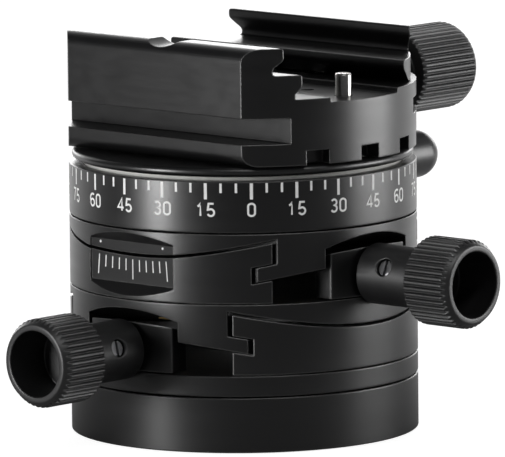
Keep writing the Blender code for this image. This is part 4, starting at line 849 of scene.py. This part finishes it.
def bend(centre, radius, start, end, squash=1.0, steps=14):
    """Arc of a digit's centre line between two angles in degrees, squashed along y."""
    angle = np.radians(np.linspace(start, end, steps + 1))
    return [(centre[0] + radius * math.cos(a), centre[1] + squash * radius * math.sin(a)) for a in angle]


LOW, HIGH = 0.07, 0.93
upper_bowl = bend((0.33, 0.725), 0.205, 150, -90)
lower_bowl = bend((0.33, 0.295), 0.225, 90, -155)
DIGITS = {
    "0": [bend((0.33, 0.73), 0.235, 0, 180, 0.85) + bend((0.33, 0.27), 0.235, 180, 360, 0.85) + [(0.565, 0.73)]],
    "1": [[(0.13, 0.73), (0.22, 0.77), (0.30, 0.86), (0.33, HIGH), (0.33, LOW)]],
    "2": [bend((0.33, 0.70), 0.23, 165, -35) + [(0.12, 0.20), (0.09, LOW), (0.58, LOW)]],
    "3": [upper_bowl + lower_bowl],
    "4": [[(0.45, LOW), (0.45, HIGH), (0.06, 0.29), (0.62, 0.29)]],
    "5": [[(0.54, HIGH), (0.18, HIGH), (0.12, 0.50)] + bend((0.33, 0.31), 0.24, 125, -155)],
    "6": [bend((0.36, 0.62), 0.31, 40, 180, 1.0, 10)[1:] + bend((0.33, 0.32), 0.245, 180, 540, 1.0, 22)],
    "7": [[(0.08, HIGH), (0.58, HIGH), (0.40, 0.62), (0.29, 0.34), (0.25, LOW)]],
    "8": [bend((0.33, 0.725), 0.20, -90, 270), bend((0.33, 0.295), 0.225, 90, 450)],
    "9": [bend((0.33, 0.68), 0.245, 0, 360, 1.0, 22) + bend((0.30, 0.38), 0.31, 0, -140, 1.0, 10)],
}
ADVANCE = 0.74
STROKE = 0.145


def thickened(path):
    """Points and faces of a strip round a centre line: p +- n * stroke / 2, mitred at the corners."""
    path = np.array(path)
    keep = np.r_[True, np.hypot(*np.diff(path, axis=0).T) > 0.004]
    path = path[keep]
    way = np.diff(path, axis=0)
    way /= np.hypot(way[:, 0], way[:, 1])[:, None]
    before, after = np.vstack([way[:1], way]), np.vstack([way, way[-1:]])
    if np.hypot(*(path[0] - path[-1])) < 0.01:
        before[0], after[-1] = way[-1], way[0]
    sum_way = before + after
    length = np.hypot(sum_way[:, 0], sum_way[:, 1])[:, None]
    miter = np.minimum(2 / length, 1.6)
    normal = np.stack([-sum_way[:, 1], sum_way[:, 0]], axis=1) / length
    offset = normal * miter * STROKE / 2
    points = np.stack([path + offset, path - offset], axis=1).reshape(-1, 2)
    return points, grid_faces(len(path), 2)


def around_ring(points, degrees, radius, base):
    """Flat points bent round Z: the angle is degrees + x / radius, the height is base + y."""
    angle = math.radians(degrees) + points[:, 0] / radius
    return np.stack([radius * np.cos(angle), radius * np.sin(angle), base + points[:, 1]], axis=1)


# %% Pan scale numbers
DIGIT_HEIGHT = 0.00305
number_points, number_faces, count = [], [], 0
for step in range(-165, 181, 15):
    words = str(abs(step))
    for place, letter in enumerate(words):
        for path in DIGITS[letter]:
            points, faces = thickened(path)
            shift = (place - len(words) / 2) * ADVANCE + (ADVANCE - 0.66) / 2
            points = (points + (shift, 0)) * DIGIT_HEIGHT
            number_points.append(around_ring(points, ZERO_DEGREES + step, PAINT_RADIUS,
                                             ring_high - 0.0075))
            number_faces += (faces + count).tolist()
            count += len(points)
numbers = piece_from("pan_numbers", np.vstack(number_points), number_faces)
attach(numbers, "top")
print("number faces:", len(number_faces))

# %% [markdown]
# The tilt scale is a fan of eleven lines, one per degree, that all point at the tilt axis. Two dots on the slider
# are its index.

# %% Tilt scale
LINE_HALF_WIDTH = 0.00014
LINE_TOP, LONG_LINE_LOW, SHORT_LINE_LOW = 0.0084, 0.0041, 0.0059
DOT_RADIUS = 0.00028
DOT_SIDES = 20
DOT_HEIGHT = 0.0115
DOT_PLACES = (-0.0093, 0.0087)

line_plane = -POCKET_PLANE - PAINT
degrees = np.radians(np.arange(-5, 6))
long_line = np.isin(np.arange(11), (0, 5, 10))
top_arm = upper.axis - (upper.floor + LINE_TOP)
low_arm = upper.axis - (upper.floor + np.where(long_line, LONG_LINE_LOW, SHORT_LINE_LOW))
quads = np.stack([
    np.stack([np.sin(degrees) * arm + side * LINE_HALF_WIDTH, np.full(11, line_plane),
              upper.axis - np.cos(degrees) * arm], axis=-1)
    for side, arm in ((-1, low_arm), (1, low_arm), (1, top_arm), (-1, top_arm))], axis=1)
tilt_lines = piece_from("tilt_lines", quads.reshape(-1, 3), np.arange(44).reshape(11, 4))
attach(tilt_lines, "middle")
angle = full_turn(DOT_SIDES)
dot = np.stack([DOT_RADIUS * np.cos(angle), np.full(DOT_SIDES, line_plane), DOT_RADIUS * np.sin(angle)], axis=1)
dots = piece_from("tilt_index", np.vstack([dot + (x, 0, upper.floor + DOT_HEIGHT) for x in DOT_PLACES]),
                  np.arange(2 * DOT_SIDES).reshape(2, DOT_SIDES))
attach(dots, "top")

# %% [markdown]
# Black anodising leaves the lathe's fine tool marks visible, and the light runs along them. Each finish below
# needs such marks, round some axis, and lightened edges. Both are node groups, built once: the marks give a
# height for a bump and a small change of roughness. The edge group finds convex edges, and gives a normal that is
# rounded there, so that a sharp edge still catches light. Its mask lightens the colour along those edges: partly
# scuffed bare metal, partly a painted highlight that stands in for the thin line of light on each edge.

# %% Shared effects as node groups


def new_group(name, inputs, outputs):
    """Empty shader node group with its input and output nodes."""
    group = bpy.data.node_groups.new(name, "ShaderNodeTree")
    for label, kind, value in inputs:
        socket = group.interface.new_socket(label, in_out="INPUT", socket_type=kind)
        if value is not None:
            socket.default_value = value
    for label, kind in outputs:
        group.interface.new_socket(label, in_out="OUTPUT", socket_type=kind)
    return group, group.nodes.new("NodeGroupInput"), group.nodes.new("NodeGroupOutput")


def add(tree, kind, inputs=None, **settings):
    """New node with its settings. Each input is linked to a socket or set to a value."""
    node = tree.nodes.new(kind)
    for key, value in settings.items():
        setattr(node, key, value)
    for label, value in (inputs or {}).items():
        if isinstance(value, bpy.types.NodeSocket):
            tree.links.new(value, node.inputs[label])
        else:
            node.inputs[label].default_value = value
    return node


def math_node(tree, operation, *values):
    """Math node fed by sockets or numbers."""
    return add(tree, "ShaderNodeMath", dict(enumerate(values)), operation=operation).outputs[0]


def product(tree, *values):
    """Product of two or more sockets or numbers."""
    result = values[0]
    for value in values[1:]:
        result = math_node(tree, "MULTIPLY", result, value)
    return result


lathe_group, given, result = new_group(
    "lathe_marks",
    [("Vector", "NodeSocketVector", None), ("Scale", "NodeSocketFloat", 1.0)],
    [("Height", "NodeSocketFloat"), ("Streak", "NodeSocketFloat")])
parts = add(lathe_group, "ShaderNodeSeparateXYZ", {0: given.outputs["Vector"]})
squares = [product(lathe_group, part, part) for part in parts.outputs[:2]]
from_axis = math_node(lathe_group, "SQRT", math_node(lathe_group, "ADD", *squares))
scaled = [product(lathe_group, part, given.outputs["Scale"]) for part in (from_axis, parts.outputs[2])]
merged = add(lathe_group, "ShaderNodeCombineXYZ", {0: scaled[0], 2: scaled[1]})
for label, scale, detail in (("Height", 5200.0, 3.0), ("Streak", 420.0, 2.0)):
    noise = add(lathe_group, "ShaderNodeTexNoise", {"Vector": merged.outputs[0], "Scale": scale, "Detail": detail})
    lathe_group.links.new(noise.outputs[0], result.inputs[label])

# Convex edges, for a rounded normal and for a mask that paints scuffed metal and a highlight there.
edge_group, given, result = new_group(
    "edge_wear_and_glint", [("Size", "NodeSocketFloat", 0.0004), ("Vector", "NodeSocketVector", None)],
    [("Mask", "NodeSocketFloat"), ("Normal", "NodeSocketVector")])
round_edge = add(edge_group, "ShaderNodeBevel", {"Radius": given.outputs["Size"]}, samples=6)
plain = add(edge_group, "ShaderNodeNewGeometry")
compare = add(edge_group, "ShaderNodeVectorMath", {0: round_edge.outputs[0], 1: plain.outputs["Normal"]},
              operation="DOT_PRODUCT")
turned_away = math_node(edge_group, "SUBTRACT", 1.0, compare.outputs["Value"])
convex = add(edge_group, "ShaderNodeMapRange",
             {"Value": plain.outputs["Pointiness"], "From Min": 0.47, "From Max": 0.53})
speckle = add(edge_group, "ShaderNodeTexNoise", {"Vector": given.outputs["Vector"], "Scale": 900.0})
worn_and_glint = product(edge_group, turned_away, 4.0, speckle.outputs[0], convex.outputs[0])
mask = add(edge_group, "ShaderNodeClamp", {0: worn_and_glint})
edge_group.links.new(mask.outputs[0], result.inputs["Mask"])
edge_group.links.new(round_edge.outputs[0], result.inputs["Normal"])
print("groups:", lathe_group.name, edge_group.name)

# %% [markdown]
# A machined finish is a Principled shader with those two effects. The uniform values sit on the shader itself;
# only the base colour, the roughness and the normal change over the surface.

# %% Machined finishes


def principled(name, values):
    """New material, its node tree and its shader with the given uniform values."""
    material = bpy.data.materials.new(name)
    material.use_nodes = True
    shader = material.node_tree.nodes["Principled BSDF"]
    for label, value in values.items():
        shader.inputs[label].default_value = value
    return material, material.node_tree, shader


def blend(tree, factor, first, second):
    """Colour between two colours, each a socket or three numbers."""
    first, second = [end if isinstance(end, bpy.types.NodeSocket) else (*end, 1) for end in (first, second)]
    mix = add(tree, "ShaderNodeMix", {"Factor": factor, "A": first, "B": second}, data_type="RGBA")
    return mix.outputs["Result"]


def uneven_roughness(tree, shader, factor, rough, spread):
    """Roughness that runs from rough - spread to rough + spread with a factor."""
    varied = add(tree, "ShaderNodeMapRange", {"Value": factor, "To Min": rough - spread, "To Max": rough + spread})
    tree.links.new(varied.outputs[0], shader.inputs["Roughness"])


def machined(name, dark, light, rough, metallic, marks, place=(0, 0, 0), turn=(0, 0, 0), wear_and_glint=0.5, worn_and_glint_colour=0.16):
    """Machined metal: lathe marks round an axis through `place`, turned by `turn`, and scuffed edges with a painted
    highlight.
    """
    material, tree, shader = principled(name, {"Metallic": metallic, "Specular IOR Level": 0.8})
    coordinates = add(tree, "ShaderNodeTexCoord").outputs["Object"]
    mapping = add(tree, "ShaderNodeMapping", {"Location": place, "Rotation": turn, "Vector": coordinates},
                  vector_type="TEXTURE")
    lathe = add(tree, "ShaderNodeGroup", {"Vector": mapping.outputs[0]}, node_tree=lathe_group)
    edge = add(tree, "ShaderNodeGroup", {"Vector": coordinates}, node_tree=edge_group)
    tone = blend(tree, lathe.outputs["Streak"], dark, light)
    # The edges are lightened toward a pale colour: scuffed metal and a painted highlight.
    rubbed_and_glinting = blend(tree, product(tree, edge.outputs["Mask"], wear_and_glint), tone,
                   (worn_and_glint_colour, worn_and_glint_colour, worn_and_glint_colour * 0.98))
    tree.links.new(rubbed_and_glinting, shader.inputs["Base Color"])
    uneven_roughness(tree, shader, lathe.outputs["Streak"], rough, 0.05)
    bump = add(tree, "ShaderNodeBump", {"Strength": marks, "Distance": 0.00002, "Height": lathe.outputs["Height"],
                                        "Normal": edge.outputs["Normal"]})
    tree.links.new(bump.outputs[0], shader.inputs["Normal"])
    return material


QUARTER = math.pi / 2
ALONG_Y, ALONG_X = (QUARTER, 0, 0), (0, QUARTER, 0)
DARK_KNOB, LIGHT_KNOB = (0.005, 0.005, 0.0053), (0.009, 0.009, 0.0094)
# The edge colours here are pale, so the edges show scuffed metal and a painted highlight; the set screws' is nearly
# white.
anodised = machined("black_anodised", (0.0020, 0.0020, 0.0022), (0.0036, 0.0036, 0.0038), 0.33, 0.0, 0.5,
                    wear_and_glint=0.7, worn_and_glint_colour=0.4)
knob_finish = {
    word: machined(f"{word}_knob_black", DARK_KNOB, LIGHT_KNOB, 0.42, 0.0, 0.6, (0, 0, height), turn, 0.7, 0.3)
    for word, height, turn in (("lower", lower.floor + WORM_HEIGHT, ALONG_Y),
                               ("upper", upper.floor + WORM_HEIGHT, ALONG_X), ("jaw", STUD_HEIGHT, ALONG_Y))}
lock_knob_finish = machined("lock_knob_black", (0.016, 0.016, 0.017), (0.026, 0.026, 0.027), 0.36, 0.0, 0.5,
                            (0, 0, LOCK_HEIGHT), ALONG_Y, 0.7, 0.3)
pin_finish = machined("polished_pin", (0.50, 0.49, 0.47), (0.62, 0.61, 0.59), 0.2, 1.0, 0.7, (*pin_place, 0))
steel = machined("bright_steel", (0.48, 0.48, 0.48), (0.62, 0.62, 0.62), 0.28, 1.0, 0.5)
dark_steel = machined("dark_steel", (0.10, 0.10, 0.105), (0.18, 0.18, 0.185), 0.34, 1.0, 0.3, worn_and_glint_colour=0.4)
screw_steel = machined("screw_steel", (0.26, 0.26, 0.27), (0.38, 0.38, 0.39), 0.3, 1.0, 0.3, worn_and_glint_colour=0.8)
brass = machined("brass", (0.55, 0.36, 0.12), (0.72, 0.5, 0.2), 0.32, 1.0, 0.4, worn_and_glint_colour=0.7)
bronze = machined("bronze", (0.36, 0.20, 0.10), (0.5, 0.3, 0.15), 0.4, 1.0, 0.4, worn_and_glint_colour=0.6)

# %% [markdown]
# The white paint and the glide ring are not metal. Paint in an engraved line is matte and a little uneven.

# %% Paint and plastic


def matte(name, dark, light, rough, scale):
    """Matte paint or plastic with a slow change of tone and a fine grain."""
    material, tree, shader = principled(name, {"Specular IOR Level": 0.3})
    coordinates = add(tree, "ShaderNodeTexCoord").outputs["Object"]
    noise = add(tree, "ShaderNodeTexNoise", {"Vector": coordinates, "Scale": scale, "Detail": 4.0}).outputs[0]
    tree.links.new(blend(tree, noise, dark, light), shader.inputs["Base Color"])
    uneven_roughness(tree, shader, noise, rough, 0.06)
    return material


paint = matte("scale_paint", (0.78, 0.78, 0.77), (0.95, 0.95, 0.94), 0.6, 900.0)
plastic = matte("glide_plastic", (0.6, 0.6, 0.57), (0.75, 0.75, 0.72), 0.5, 300.0)

# %% Give every piece its finish


def dress(item, material):
    """One material for the whole object."""
    item.data.materials.clear()
    item.data.materials.append(material)


for item in [foot, plate, ring, turn_disc, clamp, jaw, *rails.values(), *sliders.values(), *blocks.values()]:
    dress(item, anodised)
for item, material in ((knobs["lower_knob"], knob_finish["lower"]), (knobs["upper_knob"], knob_finish["upper"]),
                       (clamp_knob, knob_finish["jaw"]), (lock_knob, lock_knob_finish), (pin, pin_finish),
                       (pin_spring, steel), (pan_marks, paint), (numbers, paint), (tilt_lines, paint),
                       (dots, paint)):
    dress(item, material)
slot_finish = {"black_anodised": anodised, "black_knob": lock_knob_finish, "bright_steel": steel,
               "dark_steel": dark_steel, "brass": brass, "bronze": bronze, "white_plastic": plastic}
slot_of = {entry["node"]: entry["material_slot"] for entry in frame["record"]["subparts"]}
for node, item in frame["nodes"].items():
    for material_slot in item.material_slots:
        material_slot.material = screw_steel if node.endswith("_set_screw") else slot_finish[slot_of[node]]
for item in (foot, plate, ring, turn_disc, clamp_knob, lock_knob, *knobs.values()):
    even_light(item)
print("dressed solids:", len(slot_of))

# %% [markdown]
# The photo was taken from far away, a little above the head, with the front corner between the two knobs toward
# the camera. The place, the long lens and the small shift below bring the edges close to where the photo has them.

# %% Camera
DISTANCE = 2.0
AZIMUTH = math.radians(42.3)
PITCH = math.radians(8.2)
ROLL = math.radians(0.57)
TARGET = Vector((0, 0, 0.043))
SCALE_PX_PER_MM = 4.635
CENTRE_PX = (243.4, 227.9)
WIDTH_PX, HEIGHT_PX = 505, 457

level = Vector((math.sin(AZIMUTH), -math.cos(AZIMUTH), 0))
back = level * math.cos(PITCH) + Vector((0, 0, 1)) * math.sin(PITCH)
right = Vector((math.cos(AZIMUTH), math.sin(AZIMUTH), 0))
camera_data = bpy.data.cameras.new("camera")
camera = bpy.data.objects.new("camera", camera_data)
bpy.context.scene.collection.objects.link(camera)
turning = Matrix((right, back.cross(right), back)).transposed().to_4x4()
camera.matrix_world = Matrix.Translation(TARGET + back * DISTANCE) @ turning @ Matrix.Rotation(-ROLL, 4, "Z")
camera_data.sensor_width = 36.0
camera_data.lens = 36.0 * SCALE_PX_PER_MM * DISTANCE * 1000 / WIDTH_PX
camera_data.shift_x = (WIDTH_PX / 2 - CENTRE_PX[0]) / WIDTH_PX
camera_data.shift_y = -(HEIGHT_PX / 2 - CENTRE_PX[1]) / WIDTH_PX
camera_data.clip_start = 0.1
camera_data.clip_end = 20.0
bpy.context.scene.camera = camera

# %% [markdown]
# The background of the photo is pure white. The floor is a pale disc that glows to the camera, so that it reaches
# white in the lamps' light and keeps a soft shadow round the foot. The world is white to the camera too. Both are
# white in reflections only behind the head, and dim for other rays, because the photo's body stays dark in the
# middle.

# %% Floor and backdrop
FLOOR_RADIUS = 3.0
FLOOR_SIDES = 96
FLOOR_HEIGHT = -0.0002
FLOOR_GLOW = 0.9
BACKWARD = (-math.sin(AZIMUTH), math.cos(AZIMUTH), 0)


def behind_head(tree, output, start, full):
    """Smooth mask of what lies behind the head: dot(coordinates, BACKWARD) rising from start to full."""
    coordinates = add(tree, "ShaderNodeTexCoord").outputs[output]
    share = add(tree, "ShaderNodeVectorMath", {0: coordinates, 1: BACKWARD}, operation="DOT_PRODUCT")
    return add(tree, "ShaderNodeMapRange", {"Value": share.outputs["Value"], "From Min": start, "From Max": full},
               interpolation_type="SMOOTHSTEP").outputs[0]


angle = full_turn(FLOOR_SIDES)
floor = piece_from("floor", np.stack([FLOOR_RADIUS * np.cos(angle), FLOOR_RADIUS * np.sin(angle),
                                      np.full(FLOOR_SIDES, FLOOR_HEIGHT)], axis=1), [range(FLOOR_SIDES)])
pale, tree, shader = principled("pale_floor", {"Roughness": 0.9, "Specular IOR Level": 0.1,
                                               "Emission Color": (1, 1, 1, 1)})
coordinates = add(tree, "ShaderNodeTexCoord").outputs["Object"]
grain = add(tree, "ShaderNodeTexNoise", {"Vector": coordinates, "Scale": 40.0}).outputs[0]
tree.links.new(blend(tree, grain, (0.30, 0.30, 0.30), (0.32, 0.32, 0.32)), shader.inputs["Base Color"])
rays = add(tree, "ShaderNodeLightPath").outputs
mirrored = product(tree, rays["Is Glossy Ray"], behind_head(tree, "Object", -0.02, 0.3))
seen = math_node(tree, "MAXIMUM", rays["Is Camera Ray"], mirrored)
tree.links.new(product(tree, seen, FLOOR_GLOW), shader.inputs["Emission Strength"])
dress(floor, pale)

world = bpy.data.worlds.new("studio")
bpy.context.scene.world = world
world.use_nodes = True
tree = world.node_tree
tree.nodes.clear()
soft, white = [add(tree, "ShaderNodeBackground", {"Color": colour}).outputs[0]
               for colour in ((0.06, 0.06, 0.063, 1), (1, 1, 1, 1))]
rays = add(tree, "ShaderNodeLightPath").outputs
seen = math_node(tree, "MAXIMUM", rays["Is Camera Ray"], rays["Is Transmission Ray"])
mirrored = product(tree, rays["Is Glossy Ray"], behind_head(tree, "Generated", 0.5, 0.9))
mixed = add(tree, "ShaderNodeMixShader", {0: math_node(tree, "MAXIMUM", seen, mirrored), 1: soft, 2: white})
add(tree, "ShaderNodeOutputWorld", {"Surface": mixed.outputs[0]})

# %% [markdown]
# Two soft boxes stand left and right of the head and draw the long vertical lights on the round body. A wide one
# behind and one high above light the top faces, which the camera sees at a grazing angle.

# %% Soft boxes


def soft_box(name, azimuth, elevation, distance, size, power, aim=(0, 0, 0.045)):
    """Area light that looks at the head from an azimuth and elevation in degrees."""
    data = bpy.data.lights.new(name, "AREA")
    data.shape = "RECTANGLE"
    data.size, data.size_y = size
    data.energy = power
    item = bpy.data.objects.new(name, data)
    bpy.context.scene.collection.objects.link(item)
    turn, climb = math.radians(azimuth), math.radians(elevation)
    toward = Vector((math.sin(turn) * math.cos(climb), -math.cos(turn) * math.cos(climb), math.sin(climb)))
    item.location = Vector(aim) + toward * distance
    item.rotation_euler = toward.to_track_quat("Z", "Y").to_euler()


soft_box("left_box", -13, 3, 0.4, (0.078, 0.16), 1.05, (0, 0, 0.06))
soft_box("right_box", 134, 5, 0.45, (0.26, 0.2), 1.1, (0, 0, 0.06))
soft_box("back_box", 222, 11, 1.7, (2.2, 0.5), 14)
soft_box("top_box", 68, 52, 1.4, (1.2, 0.2), 5)

# %% [markdown]
# The render should look the way the colours were set, so the view transform is plain.

# %% View settings
bpy.context.scene.view_settings.view_transform = "Standard"
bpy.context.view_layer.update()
